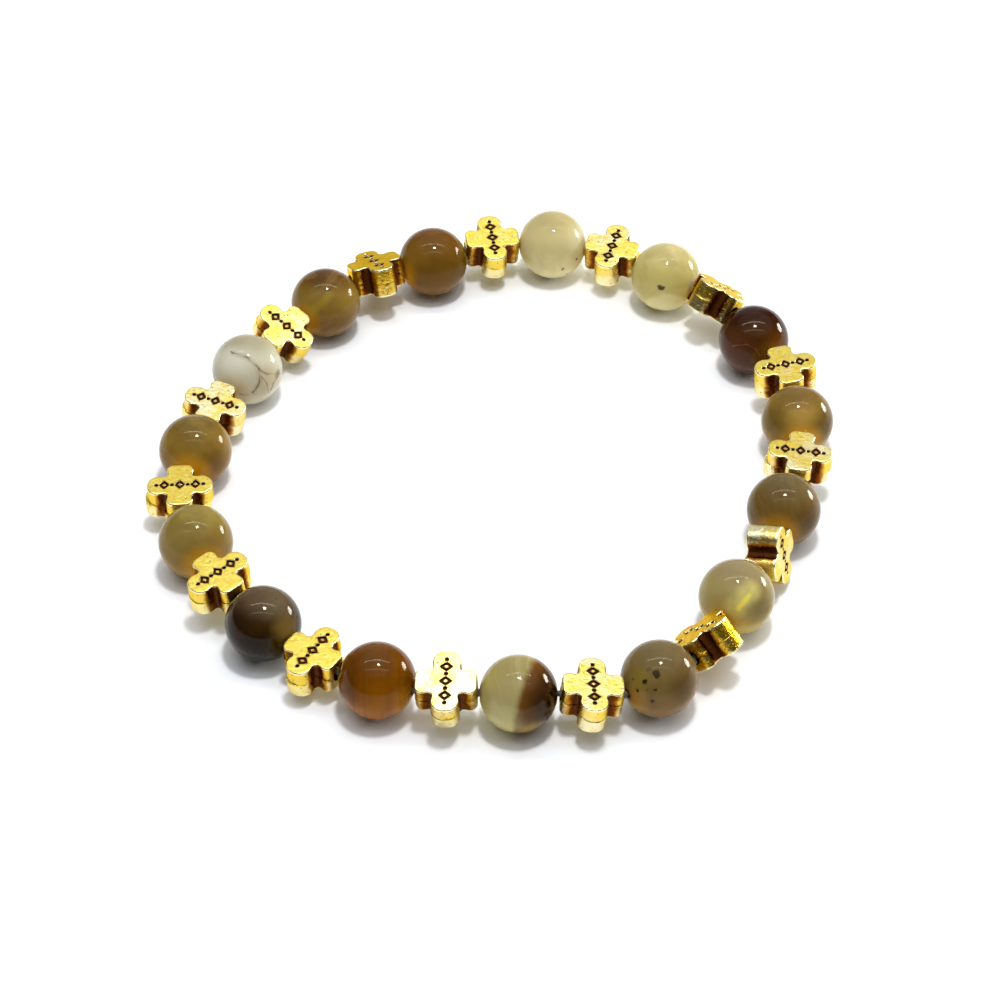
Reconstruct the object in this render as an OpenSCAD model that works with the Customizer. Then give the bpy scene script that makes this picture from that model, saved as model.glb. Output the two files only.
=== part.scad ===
// Stretch bracelet lying on a table: round drilled stones and cast cross beads, turn about, on one
// loop of elastic cord. Millimetres, +Z up. The stones rest on z = 0, and the origin is on that
// plane, under the middle of the bracelet's outline.

/* [Stones] */
// Diameter of a stone
stone_d = 8; // [7:0.1:9]
// Diameter of the hole drilled through a stone
stone_bore_d = 1.1; // [1:0.1:1.4]

/* [Cross beads] */
// Width of a cross, over the bar that lies across the string
cross_w = 7.1; // [6.4:0.1:7.4]
// Length of a cross, over the stem that lies along the string
cross_l = 6.4; // [5.8:0.1:7]
// Thickness of a cross
cross_t = 3.5; // [3:0.1:3.8]
// Width of an arm at the middle of the cross
arm_root_w = 2.45; // [2.2:0.05:2.6]
// Width of an arm at its widest, near its end
arm_end_w = 2.95; // [2.75:0.05:3.1]
// Corner radius at the ends of the bar
bar_corner_r = 1.3; // [0.8:0.05:1.35]
// Corner radius at the ends of the stem
stem_corner_r = 0.85; // [0.5:0.05:1.2]
// Radius left by the mould in the corners between the arms
root_fillet_r = 0.35; // [0.2:0.05:0.5]
// Diameter of the hole along the stem
cross_bore_d = 1.6; // [1.4:0.1:1.7]

/* [Sunk ornament] */
// Number of lozenges along the bar, with a dot between each two and one at each end
lozenge_count = 3; // [1:1:3]
// Distance from a lozenge to the dot beside it
mark_pitch = 0.84; // [0.72:0.02:0.86]
// Size of a lozenge along the bar
lozenge_w = 1.1; // [0.8:0.05:1.15]
// Size of a lozenge across the bar
lozenge_h = 1.35; // [1.1:0.05:1.5]
// Share of the lozenge that stands up again in its middle
lozenge_island = 0.36; // [0.2:0.02:0.5]
// Diameter of a dot
dot_d = 0.44; // [0.3:0.02:0.5]
// Depth of the marks
mark_depth = 0.25; // [0.15:0.05:0.35]

/* [Elastic cord] */
// Diameter of the cord
cord_d = 0.6; // [0.5:0.1:0.7]
// How far inside a bead's mouth the cord bends
bend_inset = 0.15; // [0.1:0.05:0.3]
// Share of a cross's own shift that the cord inside it takes up
cord_follows = 0.75; // [0.5:0.05:1]
// Number of sides on the cord
cord_sides = 8; // [6:2:12]

/* [Threading] */
// Gap between a stone and the cross beside it, where the string runs straight
bead_gap = 0.14; // [0.13:0.01:0.3]
// Bearing of the first stone, anticlockwise from +X
first_bearing = 100.5; // [90:0.5:120]
// The stone that has bare cord after it
bare_cord_after = 3; // [1:1:15]
// Length of that bare cord
bare_cord_l = 0.5; // [0:0.1:2]

/* [Hidden] */
$fn = 96;
eps = 0.01;

// One row for each stone and the cross that follows it, clockwise from the far left of the middle.
// REACH is how far the stone stands from the middle of the ring; the ring is then drawn up until its
// beads meet. A cross rides loosely on the cord: ALONG, OUT and LIFT shift it along the string, away
// from the middle of the ring and up. ROLL turns its upper face towards the middle, TURN turns it
// anticlockwise as seen from above, and TIP raises its leading end.
REACH = 0;
ALONG = 1;
OUT = 2;
LIFT = 3;
ROLL = 4;
TURN = 5;
TIP = 6;
pairs = [
    [31.5, -0.05,  0.0,  0.1,   9,  -9, -2],
    [35.0,  0.00,  0.0, -0.1,   8,  10, -2],
    [35.0, -0.05,  0.1,  0.7, -38,   0,  0],
    [34.5,  0.00,  0.3,  0.4,   3,  -4,  0],
    [34.0,  0.00,  0.2,  0.5,  -2,   5,  0],
    [33.0, -0.06,  0.45, 0.1, -78,   4,  0],
    [34.5, -0.10,  0.3,  0.2,  45,  -7,  2],
    [38.5,  0.05,  0.4,  0.2,  -3,   2,  5],
    [36.5, -0.05,  0.1,  0.5, -13,   1, -2],
    [36.0,  0.00,  0.1, -0.6,  -4,  -1, -2],
    [34.5, -0.05,  0.2,  0.5,  -5,   5, -1],
    [33.0,  0.00,  0.7,  0.0,   0,   0,  0],
    [30.5,  0.00,  0.2, -0.6,   7,   5,  2],
    [28.5, -0.05, -0.1, -0.1,  22,  -1,  1],
    [29.5,  0.10,  0.3,  0.4, -19,  -5,  0],
];

// Tints of the stones, and which one each stone has
smoke = "#7d6b49";
amber = "#85591f";
umber = "#4a2a1c";
ash = "#8f8465";
cream = "#cfc49a";
milk = "#c3bfae";
tints = [smoke, cream, cream, umber, smoke, ash, ash, smoke, ash, amber, umber, ash, smoke, milk, smoke];
gold = "#d9b64a";
clear_cord = "#dfe2e4";

count = len(pairs);
places = [0:count - 1];
stone_r = stone_d / 2;
// A stone's hole lies at half the turn from one stone to the next, so its mouths stand closer
straight_pitch = stone_d * cos(180 / count) + cross_l + 2 * bead_gap;

function two_digits(n) = n < 10 ? str("0", n) : str(n);
function stone_name(i) = str("stone_", two_digits(i + 1));
function cross_name(i) = str("cross_", two_digits(i + 1));

// The place before or after a place on the ring
function after(i) = (i + 1) % count;
function before(i) = (i + count - 1) % count;
function unit(v) = v / norm(v);
function sum_to(list, last, total = 0) = last < 0 ? total : sum_to(list, last - 1, total + list[last]);

// Angle at the middle of the ring between stone i and the next one, with the reaches times k
function stride(i, k) =
    let (
        a = k * pairs[i][REACH],
        b = k * pairs[after(i)][REACH],
        c = straight_pitch + (i + 1 == bare_cord_after ? bare_cord_l : 0)
    )
    acos((a * a + b * b - c * c) / (2 * a * b));
function strides(k) = [for (i = places) stride(i, k)];

// The share of the reaches at which the beads just close the ring, found by halving
closing_steps = 40;
function drawn_up(low, high, steps = closing_steps) =
    let (k = (low + high) / 2)
    steps == 0 ? k
    : sum_to(strides(k), count - 1) > 360 ? drawn_up(k, high, steps - 1)
    : drawn_up(low, k, steps - 1);
ring_share = drawn_up(0.7, 1.5);
ring_strides = strides(ring_share);
function bearing(i) = first_bearing - sum_to(ring_strides, i - 1);

// Middles of the stones about the middle of the ring
ring_points = [
    for (i = places)
        ring_share * pairs[i][REACH] * [cos(bearing(i)), sin(bearing(i)), 0] + [0, 0, stone_r]
];

// Direction of the hole in stone i, and the two mouths of that hole
function bore_way(i) = unit(ring_points[after(i)] - ring_points[before(i)]);
function mouth_in(i) = ring_points[i] - stone_r * bore_way(i);
function mouth_out(i) = ring_points[i] + stone_r * bore_way(i);

// The stretch of string that carries cross i: its direction, its length and the way out of the ring
function string_way(i) = unit(mouth_in(after(i)) - mouth_out(i));
function string_length(i) = norm(mouth_in(after(i)) - mouth_out(i));
function outward(i) = [-string_way(i)[1], string_way(i)[0], 0];
function on_string(i, along) = mouth_out(i) + (string_length(i) / 2 + along) * string_way(i);

// Middle of cross i, and its angles: heading of the stem, tip and roll
function cross_middle(i) =
    on_string(i, pairs[i][ALONG]) + pairs[i][OUT] * outward(i) + [0, 0, pairs[i][LIFT]];
function heading(way) = atan2(way[1], way[0]);
function cross_heading(i) = heading(string_way(i)) + pairs[i][TURN];

// Axes of cross i: along its stem, along its bar and out of its upper face
function stem_way(i) =
    let (h = cross_heading(i), t = pairs[i][TIP]) [cos(h) * cos(t), sin(h) * cos(t), sin(t)];
function bar_way(i) =
    let (h = cross_heading(i), r = pairs[i][ROLL], level = [-sin(h), cos(h), 0])
    cos(r) * level + sin(r) * cross(stem_way(i), level);
function face_way(i) = cross(stem_way(i), bar_way(i));

// Outermost points of the beads, which give the middle of the bracelet's outline
function bar_corners(i) = [
    for (s = [-1, 1], t = [-1, 1])
        cross_middle(i) + s * cross_w / 2 * bar_way(i) + t * cross_t / 2 * face_way(i)
];
function axis_values(axis) = concat(
    [for (p = ring_points, s = [-1, 1]) p[axis] + s * stone_r],
    [for (i = places, p = bar_corners(i)) p[axis]]
);
function middle_of(values) = (min(values) + max(values)) / 2;
origin_shift = [-middle_of(axis_values(0)), -middle_of(axis_values(1)), 0];

// One arm-to-arm strip of the cross along X: round corners, and flanks that curve in to a waist
module waisted_strip(strip_l, corner_r) {
    widest_x = strip_l / 2 - corner_r;
    waist_depth = (arm_end_w - arm_root_w) / 2;
    flank_r = (widest_x * widest_x + waist_depth * waist_depth) / (2 * waist_depth);
    difference() {
        union() {
            square([strip_l - 2 * corner_r, arm_end_w], center = true);
            square([strip_l, arm_end_w - 2 * corner_r], center = true);
            for (sx = [-1, 1], sy = [-1, 1])
                translate([sx * widest_x, sy * (arm_end_w / 2 - corner_r)]) circle(r = corner_r);
        }
        for (sy = [-1, 1])
            translate([0, sy * (arm_root_w / 2 + flank_r)]) circle(r = flank_r, $fn = 360);
    }
}

// Round fillets in the four corners between the arms
module root_fillets() {
    inner = arm_root_w / 2 - eps;
    outer = arm_root_w / 2 + root_fillet_r;
    for (turn = [0:90:270])
        rotate(turn)
            difference() {
                translate([inner, inner]) square(outer - inner + root_fillet_r / 4);
                translate([outer + root_fillet_r / 4, outer + root_fillet_r / 4])
                    circle(r = root_fillet_r * 1.25);
            }
}

module cross_outline() {
    waisted_strip(cross_l, stem_corner_r);
    rotate(90) waisted_strip(cross_w, bar_corner_r);
    root_fillets();
}

// A lozenge with a smaller one left standing in its middle
module lozenge() {
    half = [lozenge_w / 2, lozenge_h / 2];
    difference() {
        polygon([[half[0], 0], [0, half[1]], [-half[0], 0], [0, -half[1]]]);
        polygon(lozenge_island * [[half[0], 0], [0, half[1]], [-half[0], 0], [0, -half[1]]]);
    }
}

// The row of marks along the bar: dots and lozenges, turn about, with a dot at each end
module mark_row() {
    for (m = [-lozenge_count:lozenge_count])
        translate([m * mark_pitch, 0])
            if ((m + lozenge_count) % 2 == 0) circle(d = dot_d, $fn = 32);
            else lozenge();
}

// A cross about its own middle: stem and hole along X, bar along Y, faces up and down
module cross_bead() {
    difference() {
        linear_extrude(cross_t, center = true) cross_outline();
        rotate([0, 90, 0]) cylinder(h = cross_l + 2 * eps, d = cross_bore_d, center = true);
        for (turn = [0, 180])
            rotate([turn, 0, 0])
                translate([0, 0, cross_t / 2 - mark_depth])
                    rotate(90) linear_extrude(mark_depth + 1) mark_row();
    }
}

module drilled_stone(i) {
    color(tints[i])
        translate(origin_shift + ring_points[i])
            rotate([0, 90, heading(bore_way(i))])
                difference() {
                    sphere(d = stone_d);
                    cylinder(h = stone_d + 2, d = stone_bore_d, center = true);
                }
}

module threaded_cross(i) {
    color(gold)
        translate(origin_shift + cross_middle(i))
            rotate([pairs[i][ROLL], -pairs[i][TIP], cross_heading(i)])
                cross_bead();
}

// The cord's route runs straight through each bead. In a cross it lies between the straight line
// from stone to stone and the middle of the hole.
function in_cross(i, end) =
    let (
        along = end * (cross_l / 2 - bend_inset),
        straight = on_string(i, pairs[i][ALONG] + along),
        centred = cross_middle(i) + along * stem_way(i)
    )
    straight + cord_follows * (centred - straight);
cord_route = [
    for (i = places)
        each [
            mouth_in(i) + bend_inset * bore_way(i),
            mouth_out(i) - bend_inset * bore_way(i),
            in_cross(i, -1),
            in_cross(i, 1)
        ]
];

// The cord as one closed tube, with a ring of points square to the route at each of its points
module elastic_cord() {
    rings = len(cord_route);
    function along(k) = unit(cord_route[(k + 1) % rings] - cord_route[(k + rings - 1) % rings]);
    function side(k) = unit(cross([0, 0, 1], along(k)));
    points = [
        for (k = [0:rings - 1], s = [0:cord_sides - 1])
            let (turn = 360 * s / cord_sides)
                cord_route[k] + cord_d / 2 * (cos(turn) * side(k) + sin(turn) * [0, 0, 1])
    ];
    faces = [
        for (k = [0:rings - 1], s = [0:cord_sides - 1])
            let (
                here = k * cord_sides,
                next = (k + 1) % rings * cord_sides,
                t = (s + 1) % cord_sides
            )
                [here + s, next + s, next + t, here + t]
    ];
    color(clear_cord) translate(origin_shift) polyhedron(points, faces);
}

elastic_cord();
for (i = places) drilled_stone(i);
for (i = places) threaded_cross(i);
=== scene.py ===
"""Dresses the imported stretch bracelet: polished agate stones and gold crosses on a clear cord.

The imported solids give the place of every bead. Each stone, each cross and the cord is made again
here in finer detail, in the same place, and takes the solid's part in the picture. Lengths are in
millimetres until a finished mesh is put on the string, which turns them into metres.
"""

from __future__ import annotations

import logging
import math
from dataclasses import dataclass, field
from enum import Enum
from typing import Any, Iterable, Sequence, Union

import bpy
import numpy as np
from mathutils import Matrix, Vector, noise

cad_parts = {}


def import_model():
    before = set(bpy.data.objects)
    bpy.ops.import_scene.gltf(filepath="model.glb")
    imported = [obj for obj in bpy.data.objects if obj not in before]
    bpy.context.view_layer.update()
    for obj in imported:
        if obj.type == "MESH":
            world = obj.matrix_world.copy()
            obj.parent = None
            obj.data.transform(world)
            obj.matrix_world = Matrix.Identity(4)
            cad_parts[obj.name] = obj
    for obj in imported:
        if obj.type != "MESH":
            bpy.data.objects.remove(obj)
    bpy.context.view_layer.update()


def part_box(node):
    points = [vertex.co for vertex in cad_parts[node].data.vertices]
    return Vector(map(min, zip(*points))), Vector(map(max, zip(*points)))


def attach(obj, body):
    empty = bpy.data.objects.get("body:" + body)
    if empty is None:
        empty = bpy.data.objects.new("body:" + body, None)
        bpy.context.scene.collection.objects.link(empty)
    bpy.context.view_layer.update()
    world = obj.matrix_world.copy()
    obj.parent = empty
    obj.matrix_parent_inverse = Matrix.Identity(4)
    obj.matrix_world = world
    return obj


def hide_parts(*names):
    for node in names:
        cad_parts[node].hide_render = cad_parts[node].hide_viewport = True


LOG = logging.getLogger("bracelet")
METRES_PER_MM = 0.001
BODY = "root"
PAIRS = 15
STONE_RADIUS = 4.0
BEAD_PLACE = "bead_mm"
SEAM = "seam"

Array = np.ndarray
Colour = tuple[float, float, float, float]
Span = tuple[float, float]
Value = Union[float, int, "Wire", bpy.types.NodeSocket, Sequence[float]]


def srgb(red: int, green: int, blue: int) -> Colour:
    """Turns a colour as read from a screen into the linear values that a shader takes.

    Args:
        red: Red, from 0 to 255.
        green: Green, from 0 to 255.
        blue: Blue, from 0 to 255.

    Returns:
        The linear colour, opaque.
    """
    linear = []
    for level in (red, green, blue):
        share = level / 255
        linear.append(share / 12.92 if share <= 0.04045 else ((share + 0.055) / 1.055) ** 2.4)
    return (linear[0], linear[1], linear[2], 1.0)


def unit(vector: Array) -> Array:
    """Returns the vector at length one."""
    return vector / np.linalg.norm(vector)


class Graph:
    """A node tree with short ways to add nodes and join them."""

    def __init__(self, tree: bpy.types.NodeTree) -> None:
        """Takes over a tree and clears its nodes."""
        self.tree = tree
        tree.nodes.clear()

    def add(
        self,
        kind: str,
        settings: dict[str, Any] | None = None,
        values: dict[str | int, Value] | None = None,
    ) -> bpy.types.Node:
        """Adds a node, with its settings first and then the values or links of its sockets.

        Args:
            kind: The node's type name.
            settings: Properties of the node itself.
            values: A constant or a link for each named or numbered input.

        Returns:
            The new node.
        """
        node = self.tree.nodes.new(kind)
        for name, setting in (settings or {}).items():
            setattr(node, name, setting)
        for name, value in (values or {}).items():
            self.feed(node.inputs[name], value)
        return node

    def feed(self, socket: bpy.types.NodeSocket, value: Value) -> None:
        """Gives an input a constant or a link.

        Args:
            socket: The input.
            value: A number, a vector, a colour, a wire or an output socket.
        """
        if isinstance(value, Wire):
            value = value.socket
        if isinstance(value, bpy.types.NodeSocket):
            self.tree.links.new(value, socket)
        else:
            socket.default_value = value

    def math(self, operation: str, *values: Value, clamp: bool = False) -> "Wire":
        """Adds a Math node.

        Args:
            operation: The node's operation.
            *values: Its inputs, in order.
            clamp: Whether the result is held between 0 and 1.

        Returns:
            The result.
        """
        settings = {"operation": operation, "use_clamp": clamp}
        node = self.add("ShaderNodeMath", settings, dict(enumerate(values)))
        return Wire(self, node.outputs[0])

    def vector(self, operation: str, *values: Value) -> bpy.types.NodeSocket:
        """Adds a Vector Math node with its inputs in order and returns its vector."""
        node = self.add("ShaderNodeVectorMath", {"operation": operation}, dict(enumerate(values)))
        return node.outputs["Vector"]

    def measure(self, operation: str, *values: Value) -> "Wire":
        """Adds a Vector Math node that returns a number, such as a distance or a dot product."""
        node = self.add("ShaderNodeVectorMath", {"operation": operation}, dict(enumerate(values)))
        return Wire(self, node.outputs["Value"])

    def scaled(self, vector: Value, factor: Value) -> bpy.types.NodeSocket:
        """Returns the vector times a number."""
        values = {0: vector, "Scale": factor}
        return self.add("ShaderNodeVectorMath", {"operation": "SCALE"}, values).outputs["Vector"]

    def combined(self, **parts: Value) -> bpy.types.NodeSocket:
        """Returns a vector with the given X, Y or Z, and zero for the rest."""
        return self.add("ShaderNodeCombineXYZ", None, parts).outputs["Vector"]


@dataclass(frozen=True)
class Wire:
    """A number that flows through a node tree, written like a number in Python."""

    graph: Graph
    socket: bpy.types.NodeSocket

    def __add__(self, other: Value) -> "Wire":
        """Adds."""
        return self.graph.math("ADD", self, other)

    __radd__ = __add__

    def __sub__(self, other: Value) -> "Wire":
        """Subtracts."""
        return self.graph.math("SUBTRACT", self, other)

    def __rsub__(self, other: Value) -> "Wire":
        """Subtracts from a number, as in 1 - mask."""
        return self.graph.math("SUBTRACT", other, self)

    def __mul__(self, other: Value) -> "Wire":
        """Multiplies."""
        return self.graph.math("MULTIPLY", self, other)

    __rmul__ = __mul__

    def __pow__(self, other: Value) -> "Wire":
        """Raises to a power."""
        return self.graph.math("POWER", self, other)

    def __abs__(self) -> "Wire":
        """Drops the sign."""
        return self.graph.math("ABSOLUTE", self)

    def held(self) -> "Wire":
        """Holds the number between 0 and 1."""
        return self.graph.math("ADD", self, 0.0, clamp=True)

    def least(self, other: Value) -> "Wire":
        """Returns the smaller of two numbers."""
        return self.graph.math("MINIMUM", self, other)

    def most(self, other: Value) -> "Wire":
        """Returns the larger of two numbers."""
        return self.graph.math("MAXIMUM", self, other)

    def step(self, start: Value, end: Value) -> "Wire":
        """Rises smoothly from 0 at start to 1 at end; end may be the smaller one.

        Args:
            start: The value that gives 0.
            end: The value that gives 1.

        Returns:
            The share of the way from start to end, eased at both ends.
        """
        node = self.graph.add(
            "ShaderNodeMapRange",
            {"interpolation_type": "SMOOTHSTEP"},
            {"Value": self, "From Min": start, "From Max": end},
        )
        return Wire(self.graph, node.outputs["Result"])


class Paint(Graph):
    """The node tree of one material, with the textures and mixes that the finishes use."""

    def __init__(self, name: str) -> None:
        """Makes the material and its empty tree.

        Args:
            name: The material's name.
        """
        self.material = bpy.data.materials.new(name)
        self.material.use_nodes = True
        super().__init__(self.material.node_tree)

    def attribute(self, name: str) -> bpy.types.Node:
        """Reads an attribute that the mesh carries."""
        settings = {"attribute_type": "GEOMETRY", "attribute_name": name}
        return self.add("ShaderNodeAttribute", settings)

    def place(self) -> bpy.types.NodeSocket:
        """Returns the place on the whole bracelet, in millimetres."""
        node = self.add("ShaderNodeTexCoord")
        return self.scaled(node.outputs["Object"], 1 / METRES_PER_MM)

    def cloud(
        self,
        place: Value,
        scale: float,
        detail: float = 2.0,
        roughness: float = 0.5,
        distortion: float = 0.0,
    ) -> Wire:
        """Adds a cloudy pattern.

        Args:
            place: Where the pattern is read.
            scale: Clouds for each unit of length.
            detail: Number of finer layers.
            roughness: Strength of the finer layers.
            distortion: How far the pattern is stirred.

        Returns:
            A number about 0.5.
        """
        values = {
            "Vector": place,
            "Scale": scale,
            "Detail": detail,
            "Roughness": roughness,
            "Distortion": distortion,
        }
        return Wire(self, self.add("ShaderNodeTexNoise", None, values).outputs[0])

    def stirred(self, place: Value, scale: float, reach: float) -> bpy.types.NodeSocket:
        """Shifts a place about at random, so that a line drawn on it turns crooked.

        Args:
            place: The place.
            scale: Bends for each unit of length.
            reach: How far a point may move.

        Returns:
            The shifted place.
        """
        values = {"Vector": place, "Scale": scale, "Detail": 3.0}
        node = self.add("ShaderNodeTexNoise", None, values)
        centred = self.vector("SUBTRACT", node.outputs["Color"], (0.5, 0.5, 0.5))
        return self.vector("ADD", place, self.scaled(centred, 2 * reach))

    def cells(self, place: Value, scale: float) -> Wire:
        """Returns the distance to the nearest of many scattered points."""
        values = {"Vector": place, "Scale": scale}
        return Wire(self, self.add("ShaderNodeTexVoronoi", None, values).outputs["Distance"])

    def mix(self, share: Value, first: Value, second: Value) -> bpy.types.NodeSocket:
        """Mixes two colours.

        Args:
            share: How much of the second colour shows.
            first: The first colour.
            second: The second colour.

        Returns:
            The mixed colour.
        """
        node = self.add("ShaderNodeMix", {"data_type": "RGBA"})
        sockets = [s for s in node.inputs if s.enabled]
        for socket, value in zip(sockets, (share, first, second)):
            self.feed(socket, value)
        return next(s for s in node.outputs if s.enabled)

    def bump(self, height: Value, strength: float, depth: float) -> bpy.types.NodeSocket:
        """Turns a height from 0 to 1 into a normal; the depth is what 1 stands for, in metres."""
        values = {"Height": height, "Strength": strength, "Distance": depth}
        return self.add("ShaderNodeBump", None, values).outputs["Normal"]

    def finish(self, sockets: dict[str, Value]) -> bpy.types.Material:
        """Adds the surface shader and the output.

        Args:
            sockets: A value or a link for each named input of the Principled shader.

        Returns:
            The material.
        """
        shader = self.add("ShaderNodeBsdfPrincipled", None, sockets)
        self.add("ShaderNodeOutputMaterial", None, {"Surface": shader.outputs["BSDF"]})
        return self.material


@dataclass(frozen=True)
class Mottle:
    """A patchy mask: its clouds' scale and detail, and the levels where it starts and is full."""

    scale: float
    detail: float
    start: float
    full: float
    roughness: float = 0.5

    def over(self, paint: Paint, place: Value) -> Wire:
        """Returns the mask at a place, from 0 to 1."""
        cloud = paint.cloud(place, self.scale, self.detail, self.roughness)
        return cloud.step(self.start, self.full)


class ShapeTree(Graph):
    """A Geometry Nodes tree with named inputs."""

    def __init__(self, name: str) -> None:
        """Makes the tree with a geometry input and a geometry output.

        Args:
            name: The tree's name.
        """
        super().__init__(bpy.data.node_groups.new(name, "GeometryNodeTree"))
        self.identifiers: dict[str, str] = {}
        self._socket("Geometry", "NodeSocketGeometry", "INPUT")
        self._socket("Geometry", "NodeSocketGeometry", "OUTPUT")
        self.inputs = self.add("NodeGroupInput")

    def _socket(self, name: str, kind: str, side: str) -> bpy.types.NodeTreeInterfaceSocket:
        """Adds a socket to the tree's own inputs or outputs."""
        return self.tree.interface.new_socket(name=name, in_out=side, socket_type=kind)

    def input(self, name: str, kind: str) -> bpy.types.NodeSocket:
        """Adds a named input and returns the socket that carries it inside the tree."""
        self.identifiers[name] = self._socket(name, kind, "INPUT").identifier
        return self.inputs.outputs[name]

    def moved(self, geometry: Value, **how: Value) -> bpy.types.NodeSocket:
        """Moves geometry by a Translation, a Rotation or a Scale."""
        values = {"Geometry": geometry, **how}
        return self.add("GeometryNodeTransform", None, values).outputs["Geometry"]

    def joined(self, parts: Iterable[bpy.types.NodeSocket]) -> bpy.types.NodeSocket:
        """Joins geometry into one.

        Args:
            parts: What is joined, in order.

        Returns:
            All of it.
        """
        node = self.add("GeometryNodeJoinGeometry")
        for part in parts:
            self.tree.links.new(part, node.inputs[0])
        return node.outputs["Geometry"]

    def close(self, geometry: Value, material: Value) -> None:
        """Ends the tree: instances made real, material set, geometry out.

        Args:
            geometry: The finished geometry.
            material: The material that it wears.
        """
        real = self.add("GeometryNodeRealizeInstances", None, {"Geometry": geometry})
        values = {"Geometry": real.outputs["Geometry"], "Material": material}
        dressed = self.add("GeometryNodeSetMaterial", None, values)
        self.add("NodeGroupOutput", None, {"Geometry": dressed.outputs["Geometry"]})

    def run(self, mesh: bpy.types.Mesh, values: dict[str, Any]) -> bpy.types.Mesh:
        """Puts a mesh through the tree.

        Args:
            mesh: The mesh that goes in.
            values: A value for each named input.

        Returns:
            The mesh that comes out, with nothing live left on it.
        """
        carrier = stood(f"{self.tree.name}_carrier", mesh)
        modifier = carrier.modifiers.new(self.tree.name, "NODES")
        modifier.node_group = self.tree
        for name, value in values.items():
            modifier[self.identifiers[name]] = value
        return baked(carrier)


def stood(name: str, data: bpy.types.ID | None) -> bpy.types.Object:
    """Makes an object and puts it in the scene.

    Args:
        name: The object's name.
        data: Its mesh, lamp or camera.

    Returns:
        The object.
    """
    thing = bpy.data.objects.new(name, data)
    bpy.context.scene.collection.objects.link(thing)
    return thing


def baked(carrier: bpy.types.Object) -> bpy.types.Mesh:
    """Turns an object with modifiers into a plain mesh and removes the object.

    Args:
        carrier: The object.

    Returns:
        The mesh as its modifiers leave it.
    """
    bpy.context.view_layer.update()
    graph = bpy.context.evaluated_depsgraph_get()
    evaluated = carrier.evaluated_get(graph)
    mesh = bpy.data.meshes.new_from_object(
        evaluated, preserve_all_data_layers=True, depsgraph=graph
    )
    carrier.modifiers.clear()
    bpy.data.objects.remove(carrier)
    return mesh


def plain_mesh(
    name: str,
    points: Array | Sequence[Sequence[float]],
    faces: Sequence[Sequence[int]] = (),
    edges: Sequence[Sequence[int]] = (),
) -> bpy.types.Mesh:
    """Makes a mesh from points and faces.

    Args:
        name: The mesh's name.
        points: Its points, in millimetres.
        faces: The points of each face, anticlockwise from outside.
        edges: Loose edges, for a line with no faces.

    Returns:
        The mesh.
    """
    mesh = bpy.data.meshes.new(name)
    mesh.from_pydata([tuple(p) for p in points], list(edges), [tuple(f) for f in faces])
    mesh.update()
    return mesh


def band(first: int, second: int, count: int) -> list[tuple[int, int, int, int]]:
    """Joins two rings of points with a closed band of faces.

    Args:
        first: Index of the first ring's first point.
        second: Index of the second ring's first point.
        count: Points in each ring.

    Returns:
        The faces, which look outwards where the rings run anticlockwise and the second is lower.
    """
    return [
        (first + k, second + k, second + (k + 1) % count, first + (k + 1) % count)
        for k in range(count)
    ]


class StringLayout:
    """Where each bead sits on the string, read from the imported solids."""

    def __init__(self) -> None:
        """Reads the middles of all the beads."""
        self.stones = [self._middle(f"stone_{n:02d}") for n in range(1, PAIRS + 1)]
        self.crosses = [self._middle(f"cross_{n:02d}") for n in range(1, PAIRS + 1)]
        for middle in self.stones:
            middle[2] = STONE_RADIUS

    @staticmethod
    def _middle(node: str) -> Array:
        """Returns the middle of a node's box, in millimetres."""
        low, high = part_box(node)
        return np.array((low + high) / 2) / METRES_PER_MM

    def bore_way(self, place: int) -> Array:
        """Returns the direction of the hole in a stone."""
        return unit(self.stones[(place + 1) % PAIRS] - self.stones[place - 1])

    def mouth(self, place: int, side: int, inset: float = 0.0) -> Array:
        """Returns the mouth of a stone's hole on side -1 or 1, or a point inset from it."""
        return self.stones[place] + side * (STONE_RADIUS - inset) * self.bore_way(place)

    def string_way(self, place: int) -> Array:
        """Returns the direction of the string through a cross."""
        return unit(self.mouth((place + 1) % PAIRS, -1) - self.mouth(place, 1))


@dataclass(frozen=True)
class CrossSeat:
    """How one cross has come to rest on the string, how it was cast, and the wear and painted light
    on its gold.

    The angles are the solid's own, in degrees. The slip is how far the lower half of the casting
    stands out past the upper one, along the stem and along the bar. Pale says how pale and silvery
    its gold is, partly from wear and partly as painted glare, and it strengthens the painted
    reflection of the white table on its lower walls; warm says how far it is tinted towards
    orange; corner_darkening says how dark the inner corners between its arms are made.
    """

    roll: float
    turn: float = 0.0
    tip: float = 0.0
    slip: tuple[float, float] = (0.03, 0.04)
    pale: float = 0.3
    warm: float = 0.1
    corner_darkening: float = 1.0

    def axes(self, string_way: Array) -> Matrix:
        """Works out the cross's own axes.

        Args:
            string_way: Direction of the string.

        Returns:
            A rotation whose columns are the stem, the bar and the upper face's normal.
        """
        heading = math.atan2(string_way[1], string_way[0]) + math.radians(self.turn)
        turned = Matrix.Rotation(heading, 4, "Z")
        tipped = Matrix.Rotation(-math.radians(self.tip), 4, "Y")
        rolled = Matrix.Rotation(math.radians(self.roll), 4, "X")
        return turned @ tipped @ rolled


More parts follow.
